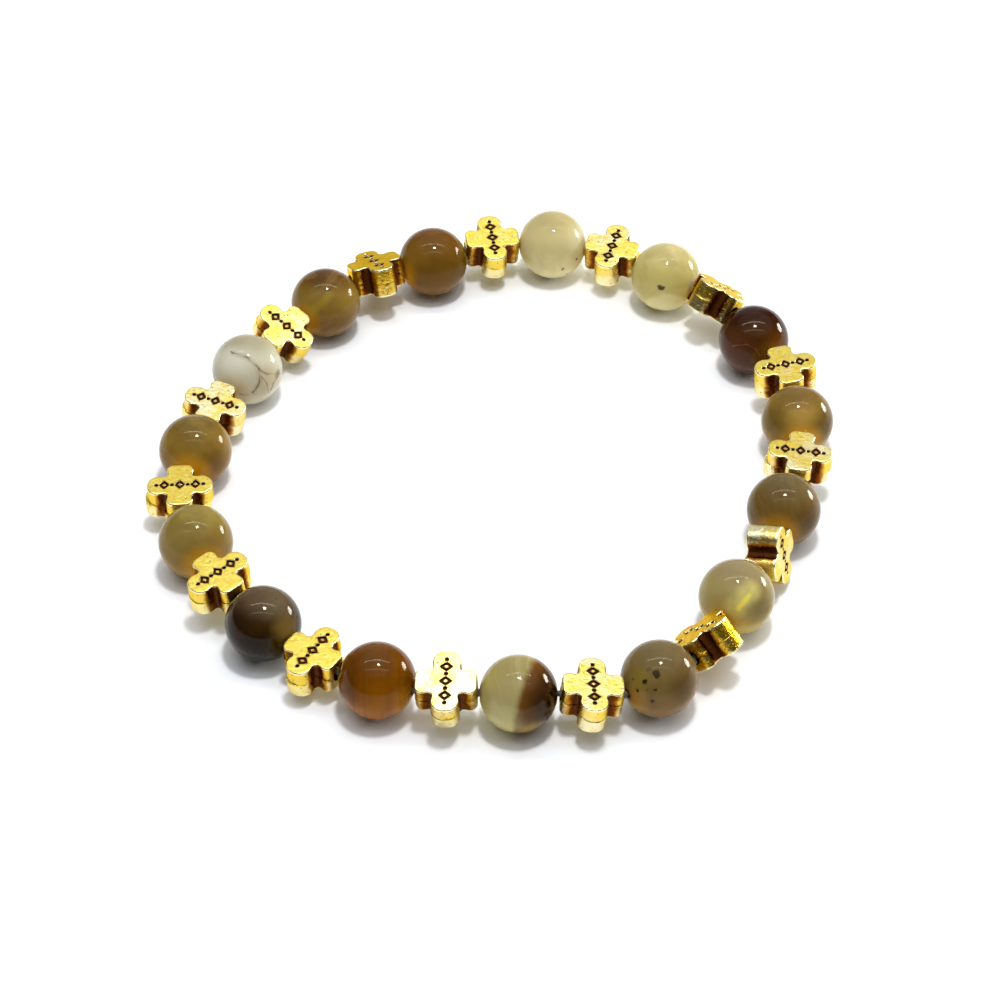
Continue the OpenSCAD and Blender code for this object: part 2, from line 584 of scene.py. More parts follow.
CROSS_SEATS = (
    CrossSeat(roll=9, turn=-9, tip=-2, pale=0.3),
    CrossSeat(roll=8, turn=10, tip=-2, pale=0.45),
    CrossSeat(roll=-38, pale=0.4, warm=0.45, corner_darkening=1.15),
    CrossSeat(roll=3, turn=-4, pale=0.35),
    CrossSeat(roll=-2, turn=5, slip=(0.0, -0.25), pale=0.55),
    CrossSeat(roll=-78, turn=4, pale=0.5, warm=0.1, corner_darkening=1.1),
    CrossSeat(roll=45, turn=-7, tip=2, pale=0.0, warm=1.0, corner_darkening=1.15),
    CrossSeat(roll=-3, turn=2, tip=5, pale=0.5),
    CrossSeat(roll=-13, turn=1, tip=-2, pale=0.55),
    CrossSeat(roll=-4, turn=-1, tip=-2, slip=(0.05, 0.12), pale=0.1),
    CrossSeat(roll=-5, turn=5, tip=-1, pale=0.1),
    CrossSeat(roll=0, slip=(0.0, 0.25), pale=0.25),
    CrossSeat(roll=7, turn=5, tip=2, slip=(0.0, 0.2), pale=0.6),
    CrossSeat(roll=22, turn=-1, tip=1, slip=(0.0, 0.15), pale=0.5),
    CrossSeat(roll=-19, turn=-5, pale=0.0, warm=0.9, corner_darkening=1.1),
)


@dataclass(frozen=True)
class Ornament:
    """The row of sunk lozenges and dots along a cross's bar."""

    lozenges: int = 3
    pitch: float = 0.84
    width: float = 1.1
    height: float = 1.35
    island: float = 0.36
    dot: float = 0.44
    depth: float = 0.25
    lip: float = 0.05
    overshoot: float = 0.3
    taper: float = 0.02
    plumpness: float = 1.15
    corners: int = 28
    hole_sides: int = 48

    def _lozenge(self, grow: float, share: float = 1.0) -> Array:
        """Returns a lozenge with slightly rounded corners.

        Args:
            grow: How far its edge is moved out.
            share: Its size against the whole lozenge.

        Returns:
            Its points, anticlockwise.
        """
        angles = np.arange(self.corners) * 2 * math.pi / self.corners
        half = np.array([self.height, self.width]) / 2 * share + grow
        round_x, round_y = np.cos(angles), np.sin(angles)
        power = 2 / self.plumpness
        return np.stack(
            [
                half[0] * np.sign(round_x) * np.abs(round_x) ** power,
                half[1] * np.sign(round_y) * np.abs(round_y) ** power,
            ],
            axis=1,
        )

    def _dot(self, grow: float) -> Array:
        """Returns a round dot's points, with its edge moved out."""
        angles = np.arange(self.corners) * 2 * math.pi / self.corners
        return (self.dot / 2 + grow) * np.stack([np.cos(angles), np.sin(angles)], axis=1)

    def _levels(self) -> list[tuple[float, float]]:
        """Returns height and flare of each ring of a cutter, from its top down."""
        above, flared = (self.overshoot, self.lip), (0.0, self.lip)
        return [above, flared, (-self.lip, 0.0), (-self.depth, -self.taper)]

    def _rings(self, outline: Any, flare: int = 1) -> Array:
        """Stacks an outline at each level.

        Args:
            outline: Gives the outline's points for a growth.
            flare: 1 for an outer wall, -1 for an inner one.

        Returns:
            The points of all rings, top ring first.
        """
        rings = []
        for height, grow in self._levels():
            flat = outline(flare * grow)
            rings.append(np.column_stack([flat, np.full(len(flat), height)]))
        return np.concatenate(rings)

    def dot_cutter(self) -> bpy.types.Mesh:
        """Makes the solid that sinks one dot.

        Returns:
            Its mesh.
        """
        count, levels = self.corners, len(self._levels())
        faces: list[tuple[int, ...]] = []
        for level in range(levels - 1):
            faces += band(level * count, (level + 1) * count, count)
        faces.append(tuple(range(count)))
        faces.append(tuple(reversed(range((levels - 1) * count, levels * count))))
        return plain_mesh("dot_cutter", self._rings(self._dot), faces)

    def lozenge_cutter(self) -> bpy.types.Mesh:
        """Makes the solid that sinks one lozenge and leaves its middle standing.

        Returns:
            Its mesh.
        """
        count, levels = self.corners, len(self._levels())
        inner = count * levels
        outer_wall = self._rings(self._lozenge)
        inner_wall = self._rings(lambda grow: self._lozenge(grow, self.island), flare=-1)
        faces: list[tuple[int, ...]] = []
        for level in range(levels - 1):
            faces += band(level * count, (level + 1) * count, count)
            faces += band(inner + (level + 1) * count, inner + level * count, count)
        faces += band(inner, 0, count)
        faces += band((levels - 1) * count, inner + (levels - 1) * count, count)
        return plain_mesh("lozenge_cutter", np.concatenate([outer_wall, inner_wall]), faces)

    def row(self, face_height: float, hole_radius: float, hole_length: float) -> bpy.types.Mesh:
        """Repeats the cutters along the bar, on both faces, and adds the hole's cutter.

        Args:
            face_height: Distance from the middle of the cross to its face.
            hole_radius: Radius of the hole along the stem.
            hole_length: Length of the hole's cutter.

        Returns:
            One mesh that holds everything to be cut from a cross.
        """
        tree = ShapeTree("ornament_row")
        dot = tree.input("Dot", "NodeSocketObject")
        pitch = tree.input("Pitch", "NodeSocketFloat")
        lozenges = tree.input("Lozenges", "NodeSocketInt")
        height = tree.input("Face height", "NodeSocketFloat")
        radius = tree.input("Hole radius", "NodeSocketFloat")
        length = tree.input("Hole length", "NodeSocketFloat")
        material = tree.input("Finish", "NodeSocketMaterial")
        count = Wire(tree, lozenges)
        step = Wire(tree, pitch)
        lozenge_shape = tree.inputs.outputs["Geometry"]
        dot_shape = tree.add("GeometryNodeObjectInfo", None, {"Object": dot}).outputs["Geometry"]
        marks = []
        for shape, number in ((lozenge_shape, count), (dot_shape, count + 1)):
            spots = {
                "Count": number,
                "Start Location": tree.combined(Y=(1 - number) * step),
                "Offset": tree.combined(Y=2 * step),
            }
            line = tree.add("GeometryNodeMeshLine", None, spots)
            stamped = {"Points": line.outputs["Mesh"], "Instance": shape}
            placed = tree.add("GeometryNodeInstanceOnPoints", None, stamped)
            marks.append(placed.outputs["Instances"])
        raised = tree.moved(tree.joined(marks), Translation=tree.combined(Z=height))
        flipped = tree.moved(raised, Rotation=(math.pi, 0.0, 0.0))
        rod = {"Vertices": self.hole_sides, "Radius": radius, "Depth": length}
        cylinder = tree.add("GeometryNodeMeshCylinder", None, rod).outputs["Mesh"]
        hole = tree.moved(cylinder, Rotation=(0.0, math.pi / 2, 0.0))
        tree.close(tree.joined((raised, flipped, hole)), material)
        dot_object = bpy.data.objects.new("dot_cutter", self.dot_cutter())
        sizes = {
            "Dot": dot_object,
            "Pitch": self.pitch,
            "Lozenges": self.lozenges,
            "Face height": face_height,
            "Hole radius": hole_radius,
            "Hole length": hole_length,
        }
        mesh = tree.run(self.lozenge_cutter(), sizes)
        bpy.data.objects.remove(dot_object)
        return mesh


FITTING_ROUNDS = 20
SAME_POINT = 1e-6
SEAM_SHIFT = 7.0
UNEVEN_SEED = 3.3


@dataclass
class CastCross:
    """A cast cross bead: flared arms, a rounded rim and a rough line where the mould closed."""

    width: float = 7.1
    length: float = 6.4
    thickness: float = 3.5
    arm_root: float = 2.45
    arm_end: float = 2.95
    bar_corner: float = 1.3
    stem_corner: float = 0.85
    root_fillet: float = 0.4
    hole_radius: float = 0.8
    rim_round: float = 0.17
    draft: float = 0.04
    seam_depth: float = 0.08
    seam_half: float = 0.05
    seam_wander: float = 0.16
    seam_bends: float = 0.5
    seam_gaps: float = 0.9
    seam_contrast: float = 2.2
    seam_reach: float = 0.5
    seam_band: float = 0.4
    seam_spread: float = 1.6
    seam_shoulder: tuple[float, float] = (0.005, 0.3)
    flat_margin: float = 0.12
    unevenness: float = 0.02
    uneven_bends: float = 0.7
    outline_points: int = 288
    corner_steps: int = 24
    flank_steps: int = 20
    rim_steps: int = 7
    ornament: Ornament = field(default_factory=Ornament)

    def _flank(self, along: Array | float, reach: float, corner: float) -> Array | float:
        """Returns half the width of an arm at a distance from the middle of the cross.

        Args:
            along: Distance from the middle.
            reach: Length of the arm, from the middle.
            corner: Corner radius at its end.

        Returns:
            Half the width there.
        """
        widest = reach - corner
        waist = (self.arm_end - self.arm_root) / 2
        radius = (widest**2 + waist**2) / (2 * waist)
        return self.arm_root / 2 + radius - np.sqrt(radius**2 - np.square(along))

    def _quarter(self) -> Array:
        """Draws a quarter of the outline.

        Returns:
            Its points, from the stem's end round to the bar's end.
        """
        stem, bar = self.length / 2, self.width / 2
        fillet = self.root_fillet
        centre_x = centre_y = self.arm_root / 2 + fillet
        for _ in range(FITTING_ROUNDS):
            centre_x = self._flank(centre_y, bar, self.bar_corner) + fillet
            centre_y = self._flank(centre_x, stem, self.stem_corner) + fillet
        turn = np.linspace(0, math.pi / 2, self.corner_steps)
        stem_x = stem - self.stem_corner
        bar_y = bar - self.bar_corner
        half = self.arm_end / 2
        along_stem = np.linspace(stem_x, centre_x, self.flank_steps)
        along_bar = np.linspace(centre_y, bar_y, self.flank_steps)
        pieces = [
            np.array([[stem, 0.0]]),
            np.column_stack(
                [
                    stem_x + self.stem_corner * np.cos(turn),
                    half - self.stem_corner + self.stem_corner * np.sin(turn),
                ]
            ),
            np.column_stack([along_stem, self._flank(along_stem, stem, self.stem_corner)]),
            np.column_stack([centre_x - fillet * np.sin(turn), centre_y - fillet * np.cos(turn)]),
            np.column_stack([self._flank(along_bar, bar, self.bar_corner), along_bar]),
            np.column_stack(
                [
                    half - self.bar_corner + self.bar_corner * np.cos(turn),
                    bar_y + self.bar_corner * np.sin(turn),
                ]
            ),
            np.array([[0.0, bar]]),
        ]
        return np.concatenate(pieces)

    def outline(self) -> Array:
        """Draws the whole outline.

        Returns:
            Its points, anticlockwise and evenly spaced.
        """
        quarter = self._quarter()
        back = quarter[::-1]
        loop = np.concatenate(
            [quarter, back * [-1, 1], quarter * [-1, -1], back * [1, -1], quarter[:1]]
        )
        steps = np.linalg.norm(np.diff(loop, axis=0), axis=1)
        kept = np.concatenate([[True], steps > SAME_POINT])
        loop = loop[kept]
        run = np.concatenate([[0], np.cumsum(np.linalg.norm(np.diff(loop, axis=0), axis=1))])
        even = np.linspace(0, run[-1], self.outline_points, endpoint=False)
        return np.column_stack([np.interp(even, run, loop[:, axis]) for axis in (0, 1)])

    @staticmethod
    def _drift(point: Array, bends: float, seed: float, shift: float = 0.0) -> float:
        """Returns smooth noise about zero at a point, with so many bends to the millimetre."""
        return noise.noise(Vector((point[0] * bends + shift, point[1] * bends, seed)))

    def _seam_height(self, point: Array, seed: float) -> float:
        """Returns how far the mould line has wandered from mid-thickness at a point."""
        return self.seam_wander * self._drift(point, self.seam_bends, seed)

    def _seam_strength(self, point: Array, seed: float) -> float:
        """Returns how open the mould line is at a point, from 0, closed, to 1."""
        level = self._drift(point, self.seam_gaps, seed, SEAM_SHIFT)
        return min(max(0.5 + self.seam_contrast * level, 0.0), 1.0)

    def _profile(self) -> list[tuple[float, float, float]]:
        """Lists the rings from the upper face to the lower one.

        Returns:
            For each ring its inset, its height, and how much of the mould line it carries.
        """
        top = self.thickness / 2
        rim = []
        for turn in np.linspace(0, math.pi / 2, self.rim_steps):
            inset = self.rim_round * (1 - math.sin(turn)) + self.draft
            rim.append((inset, top - self.rim_round * (1 - math.cos(turn)), 0.0))
        wall_top = top - self.rim_round
        wall = [(self.draft * share, wall_top * share, 0.0) for share in (0.75, 0.5, 0.25)]
        inset, share = self.seam_shoulder
        seam_edge = [(0.0, 2 * self.seam_half, 0.0), (inset, self.seam_half, share)]
        upper = [(rim[0][0] + self.flat_margin, top, 0.0)] + rim + wall + seam_edge
        lower = [(inset, -height, seam) for inset, height, seam in reversed(upper)]
        return upper + [(0.0, 0.0, 1.0)] + lower

    def shell(self, seed: float, slip: tuple[float, float]) -> bpy.types.Mesh:
        """Builds the cross before anything is cut from it.

        Args:
            seed: Picks how this casting came out.
            slip: How far the lower half stands out past the upper one.

        Returns:
            A closed mesh about the cross's own middle.
        """
        outline = self.outline()
        tangent = np.roll(outline, -1, axis=0) - np.roll(outline, 1, axis=0)
        normal = np.column_stack([tangent[:, 1], -tangent[:, 0]])
        normal /= np.linalg.norm(normal, axis=1)[:, None]
        uneven_seed = seed + UNEVEN_SEED
        uneven = np.array([self._drift(p, self.uneven_bends, uneven_seed) for p in outline])
        heights = np.array([self._seam_height(p, seed) for p in outline])
        open_seam = np.array([self._seam_strength(p, seed) for p in outline])
        count = len(outline)
        rings = []
        for inset, height, seam in self._profile():
            sunk = inset + self.unevenness * uneven + seam * self.seam_depth * open_seam
            flat = outline - normal * sunk[:, None]
            near_seam = max(0.0, 1 - abs(height) / self.seam_reach)
            lift = height + near_seam * heights
            if height < 0:
                flat = flat + np.array(slip)
            rings.append(np.column_stack([flat, lift]))
        last = (len(rings) - 1) * count
        upper, lower = last + count, last + count + 1
        faces: list[tuple[int, ...]] = [(upper, k, (k + 1) % count) for k in range(count)]
        for ring in range(len(rings) - 1):
            faces += band(ring * count, (ring + 1) * count, count)
        faces += [(lower, last + (k + 1) % count, last + k) for k in range(count)]
        top = self.thickness / 2
        centres = [[0.0, 0.0, top], [slip[0], slip[1], -top]]
        return plain_mesh("cross_shell", np.concatenate(rings + [centres]), faces)

    def _mark_seam(self, mesh: bpy.types.Mesh, seed: float) -> None:
        """Writes how much of the mould line each point carries.

        Args:
            mesh: The cut cross, about its own middle.
            seed: The seed that shaped it.
        """
        marks = np.zeros(len(mesh.vertices), np.float32)
        reach = self.seam_spread * self.seam_half
        for vertex in mesh.vertices:
            point = np.array(vertex.co)
            if abs(point[2]) > self.seam_band:
                continue
            away = abs(point[2] - self._seam_height(point, seed)) / reach
            marks[vertex.index] = self._seam_strength(point, seed) * max(0.0, 1 - away)
        attribute = mesh.attributes.new(SEAM, "FLOAT", "POINT")
        attribute.data.foreach_set("value", marks)

    def cast(
        self, seed: float, slip: tuple[float, float], cutter: bpy.types.Object
    ) -> bpy.types.Mesh:
        """Makes one finished cross about its own middle.

        Args:
            seed: Picks how this casting came out.
            slip: How far the lower half stands out past the upper one.
            cutter: Everything that is cut from a cross.

        Returns:
            The mesh, with its mould line marked.
        """
        carrier = stood("cross_carrier", self.shell(seed, slip))
        cut = carrier.modifiers.new("Cut", "BOOLEAN")
        cut.operation = "DIFFERENCE"
        cut.solver = "MANIFOLD"
        cut.object = cutter
        mesh = baked(carrier)
        self._mark_seam(mesh, seed)
        return mesh


@dataclass
class DrilledStone:
    """A round polished stone, drilled through, with the edges of its hole broken."""

    radius: float = STONE_RADIUS
    hole_radius: float = 0.55
    edge_round: float = 0.12
    sides: int = 96
    arc_steps: int = 56
    edge_steps: int = 4

    def _profile(self) -> Array:
        """Draws the closed profile.

        Returns:
            For each point its place along the hole and its distance from the hole's axis.
        """
        rim = self.hole_radius + self.edge_round
        start = math.asin(rim / self.radius)
        outer = np.linspace(start, math.pi - start, self.arc_steps)
        arc = self.radius * np.column_stack([np.cos(outer), np.sin(outer)])
        edge_x = self.radius * math.cos(start)
        turn = np.linspace(0, math.pi / 2, self.edge_steps + 1)[1:]
        edge = np.column_stack(
            [
                -edge_x + self.edge_round * (1 - np.cos(turn)),
                rim - self.edge_round * np.sin(turn),
            ]
        )
        wall = np.array([[-edge_x / 2, self.hole_radius], [0.0, self.hole_radius]])
        far = (edge * [-1, 1])[::-1]
        return np.concatenate([arc, edge, wall, (wall * [-1, 1])[:1], far])

    def turned(self, bore_way: Array) -> bpy.types.Mesh:
        """Turns the profile round the hole.

        Args:
            bore_way: Direction of the hole.

        Returns:
            A closed mesh about the stone's own middle.
        """
        axis = unit(bore_way)
        side = unit(np.cross([0.0, 0.0, 1.0], axis))
        up = np.cross(axis, side)
        profile = self._profile()
        angles = np.arange(self.sides) * 2 * math.pi / self.sides
        rings = [
            x * axis + r * (np.cos(angles)[:, None] * side + np.sin(angles)[:, None] * up)
            for x, r in profile
        ]
        faces: list[tuple[int, ...]] = []
        for ring in range(len(rings)):
            faces += band(ring * self.sides, (ring + 1) % len(rings) * self.sides, self.sides)
        return plain_mesh("drilled_stone", np.concatenate(rings), faces)


# Painted glow: the colour of the gold crosses shining into the stones.
GOLD_GLOW = srgb(226, 164, 26)
FRONT_FOOT = (0.0, -0.92, -0.38)
STONE_CROWN = (0.0, 0.35, 1.0)
SIGHT_LINE = math.radians(43.27)
SEEN_RIGHT = np.array([1.0, 0.0, 0.0])
SEEN_UP = np.array([0.0, math.sin(SIGHT_LINE), math.cos(SIGHT_LINE)])
SEEN_FRONT = np.array([0.0, -math.cos(SIGHT_LINE), math.sin(SIGHT_LINE)])


def on_stone(right: float, up: float) -> Array:
    """Finds the point on a ball of radius one that is seen so far right of and above its middle."""
    front = math.sqrt(max(0.0, 1 - right**2 - up**2))
    return unit(right * SEEN_RIGHT + up * SEEN_UP + front * SEEN_FRONT)


@dataclass(frozen=True)
class Patch:
    """A soft-edged area of another colour.

    Its middle lies right of and above the stone's middle as photographed, and its size is its
    radius, all in radii of the stone. Some patches are the stone's own colouring and some are
    painted light: glows, a glint and shade.
    """

    right: float
    up: float
    size: float
    colour: Colour
    strength: float
    softness: float


@dataclass(frozen=True)
class Speck:
    """A small dark inclusion or pit, placed and sized as a patch is."""

    right: float
    up: float
    size: float
    colour: Colour
    strength: float = 0.9


@dataclass(frozen=True)
class Vein:
    """A thin line through a row of points, placed as a patch is.

    The crook is how far the line strays from the straight way between its points.
    """

    points: tuple[tuple[float, float], ...]
    colour: Colour
    width: float
    strength: float
    crook: float


@dataclass(frozen=True)
class Bands:
    """Thin parallel layers, as agate has.

    They lie across the direction given by right, up and front, so many to a radius of the stone,
    and the stir is how far they waver.
    """

    right: float
    up: float
    front: float
    count: float
    colour: Colour
    strength: float
    stir: float


@dataclass(frozen=True)
class Agate:
    """The look of one agate stone.

    The tones run from the top over the middle to the low one, partly the stone's own colour and
    partly painted light: on most stones the low tone is a painted glow at the foot. Clouds and
    marks lie over them, some patches being painted light too, and the glow is how strongly the
    gold next to it is painted shining into the stone.
    """

    slot: str
    top: Colour
    middle: Colour
    # The low tone: on most stones lighter, a painted glow at the foot.
    low: Colour
    cloud_colour: Colour
    cloud: float = 0.35
    cloud_scale: float = 1.3
    milkiness: float = 0.6
    scatter_colour: tuple[float, float, float] = (1.0, 0.85, 0.6)
    scatter_metres: float = 0.0018
    clearness: float = 0.0
    index: float = 1.54
    gloss: float = 0.16
    gloss_tint: Colour = (1.0, 0.92, 0.76, 1.0)
    relief_metres: float = 0.00006
    layered: Mottle = Mottle(1.0, 3.0, 0.42, 0.62, 0.7)
    fading: Mottle = Mottle(4.0, 3.0, 0.3, 0.6)
    crown_height: Span = (0.4, 0.95)
    foot_height: Span = (0.3, -0.45)
    gold_reach: Span = (0.68, 1.0)
    front_reach: Span = (0.15, 0.85)
    cloud_level: Span = (0.4, 0.68)
    polish_height: float = 0.015
    crack_depth: float = 0.35
    pit_depth: float = 0.25
    glow: float = 0.75
    bands: tuple[Bands, ...] = ()
    patches: tuple[Patch, ...] = ()
    specks: tuple[Speck, ...] = ()
    veins: tuple[Vein, ...] = ()

    def _shade(self, paint: Paint, ball: Value) -> bpy.types.NodeSocket:
        """Blends the stone's tones from its top to the glow at its foot.

        Args:
            paint: Where the nodes go.
            ball: The place on a ball of radius one.

        Returns:
            The colour.
        """
        height = paint.measure("DOT_PRODUCT", ball, tuple(unit(np.array(STONE_CROWN))))
        colour = paint.mix(height.step(*self.crown_height), self.middle, self.top)
        # The low tone is partly the stone's colour and partly painted glow: on most stones it is
        # lighter, as light passing through to the foot.
        return paint.mix(height.step(*self.foot_height), colour, self.low)

    def _banding(self, paint: Paint, ball: Value, colour: Value) -> Value:
        """Adds the thin layers.

        Args:
            paint: Where the nodes go.
            ball: The place on a ball of radius one.
            colour: The colour so far.

        Returns:
            The colour with the layers in it.
        """
        for layer in self.bands:
            way = layer.right * SEEN_RIGHT + layer.up * SEEN_UP + layer.front * SEEN_FRONT
            stirred = paint.stirred(ball, 1.4, layer.stir)
            across = paint.measure("DOT_PRODUCT", stirred, tuple(unit(way)))
            share = self.layered.over(paint, paint.combined(X=across * layer.count))
            colour = paint.mix(share * layer.strength, colour, layer.colour)
        return colour

    def _patching(self, paint: Paint, ball: Value, colour: Value) -> Value:
        """Adds the soft areas.

        Args:
            paint: Where the nodes go.
            ball: The place on a ball of radius one.
            colour: The colour so far.

        Returns:
            The colour with the areas in it.
        """
        if not self.patches:
            return colour
        stirred = paint.stirred(ball, 1.6, 0.16)
        for patch in self.patches:
            away = paint.measure("DISTANCE", stirred, tuple(on_stone(patch.right, patch.up)))
            edge = patch.size * patch.softness
            share = away.step(patch.size + edge, max(patch.size - edge, 0.0))
            colour = paint.mix(share * patch.strength, colour, patch.colour)
        return colour

    def _veining(self, paint: Paint, ball: Value, colour: Value) -> tuple[Value, Wire | None]:
        """Draws the crooked lines.

        Args:
            paint: Where the nodes go.
            ball: The place on a ball of radius one.
            colour: The colour so far.

        Returns:
            The colour with the lines in it, and their mask if there are any.
        """
        mask: Wire | None = None
        for vein in self.veins:
            bent = paint.stirred(ball, 2.2, vein.crook)
            stirred = paint.stirred(bent, 7.0, vein.crook * 0.4)
            nearest: Wire | None = None
            for start, end in zip(vein.points, vein.points[1:]):
                first, last = on_stone(*start), on_stone(*end)
                along = last - first
                offset = paint.vector("SUBTRACT", stirred, tuple(first))
                share = paint.measure("DOT_PRODUCT", offset, tuple(along / (along @ along))).held()
                gap = paint.measure("DISTANCE", offset, paint.scaled(tuple(along), share))
                nearest = gap if nearest is None else nearest.least(gap)
            patchy = self.fading.over(paint, ball) * 0.35 + 0.65
            line = nearest.step(vein.width * 2.2, vein.width * 0.4) * patchy
            colour = paint.mix(line * vein.strength, colour, vein.colour)
            mask = line if mask is None else mask.most(line)
        return colour, mask

    def _specking(self, paint: Paint, ball: Value, colour: Value) -> tuple[Value, Wire | None]:
        """Adds the small inclusions.

        Args:
            paint: Where the nodes go.
            ball: The place on a ball of radius one.
            colour: The colour so far.

        Returns:
            The colour with the inclusions in it, and their mask if there are any.
        """
        mask: Wire | None = None
        if not self.specks:
            return colour, mask
        stirred = paint.stirred(ball, 6.0, 0.08)
        for speck in self.specks:
            away = paint.measure("DISTANCE", stirred, tuple(on_stone(speck.right, speck.up)))
            share = away.step(speck.size * 1.25, speck.size * 0.6)
            colour = paint.mix(share * speck.strength, colour, speck.colour)
            mask = share if mask is None else mask.most(share)
        return colour, mask

    def material(self, name: str, bore_way: Array) -> bpy.types.Material:
        """Builds the stone's material.

        Args:
            name: The material's name.
            bore_way: Direction of its hole, at whose ends the gold shines into the stone.

        Returns:
            The material.
        """
        paint = Paint(name)
        own = paint.attribute(BEAD_PLACE).outputs["Vector"]
        ball = paint.scaled(own, 1 / STONE_RADIUS)
        colour: Value = self._shade(paint, ball)
        seeded = paint.scaled(paint.place(), self.cloud_scale / STONE_RADIUS)
        clouds = paint.cloud(seeded, 1.0, detail=4.0, roughness=0.55, distortion=0.6)
        clouded = clouds.step(*self.cloud_level) * self.cloud
        colour = paint.mix(clouded, colour, self.cloud_colour)
        colour = self._banding(paint, ball, colour)
        colour = self._patching(paint, ball, colour)
        along_bore = abs(paint.measure("DOT_PRODUCT", ball, tuple(bore_way)))
        near_gold = along_bore.step(*self.gold_reach)
        front = paint.measure("DOT_PRODUCT", ball, FRONT_FOOT).step(*self.front_reach)
        # Painted glow: gold light on the stone's front foot near each end of its hole.
        colour = paint.mix(near_gold * front * self.glow, colour, GOLD_GLOW)
        colour, cracks = self._veining(paint, ball, colour)
        colour, pits = self._specking(paint, ball, colour)
        polish = paint.cloud(paint.place(), 2.5, detail=3.0)
        height = polish * self.polish_height
        for mask, depth in ((cracks, self.crack_depth), (pits, self.pit_depth)):
            if mask is not None:
                height = height - mask * depth
        return paint.finish(
            {
                "Base Color": colour,
                "Roughness": 0.02 + 0.03 * polish,
                "IOR": self.index,
                "Specular IOR Level": self.gloss,
                "Specular Tint": self.gloss_tint,
                "Normal": paint.bump(height, 0.25, self.relief_metres),
                "Subsurface Weight": self.milkiness,
                "Subsurface Radius": self.scatter_colour,
                "Subsurface Scale": self.scatter_metres,
                "Transmission Weight": self.clearness,
            }
        )


YELLOW_STREAK = srgb(244, 228, 96)
DULL_CRACK = srgb(124, 106, 78)

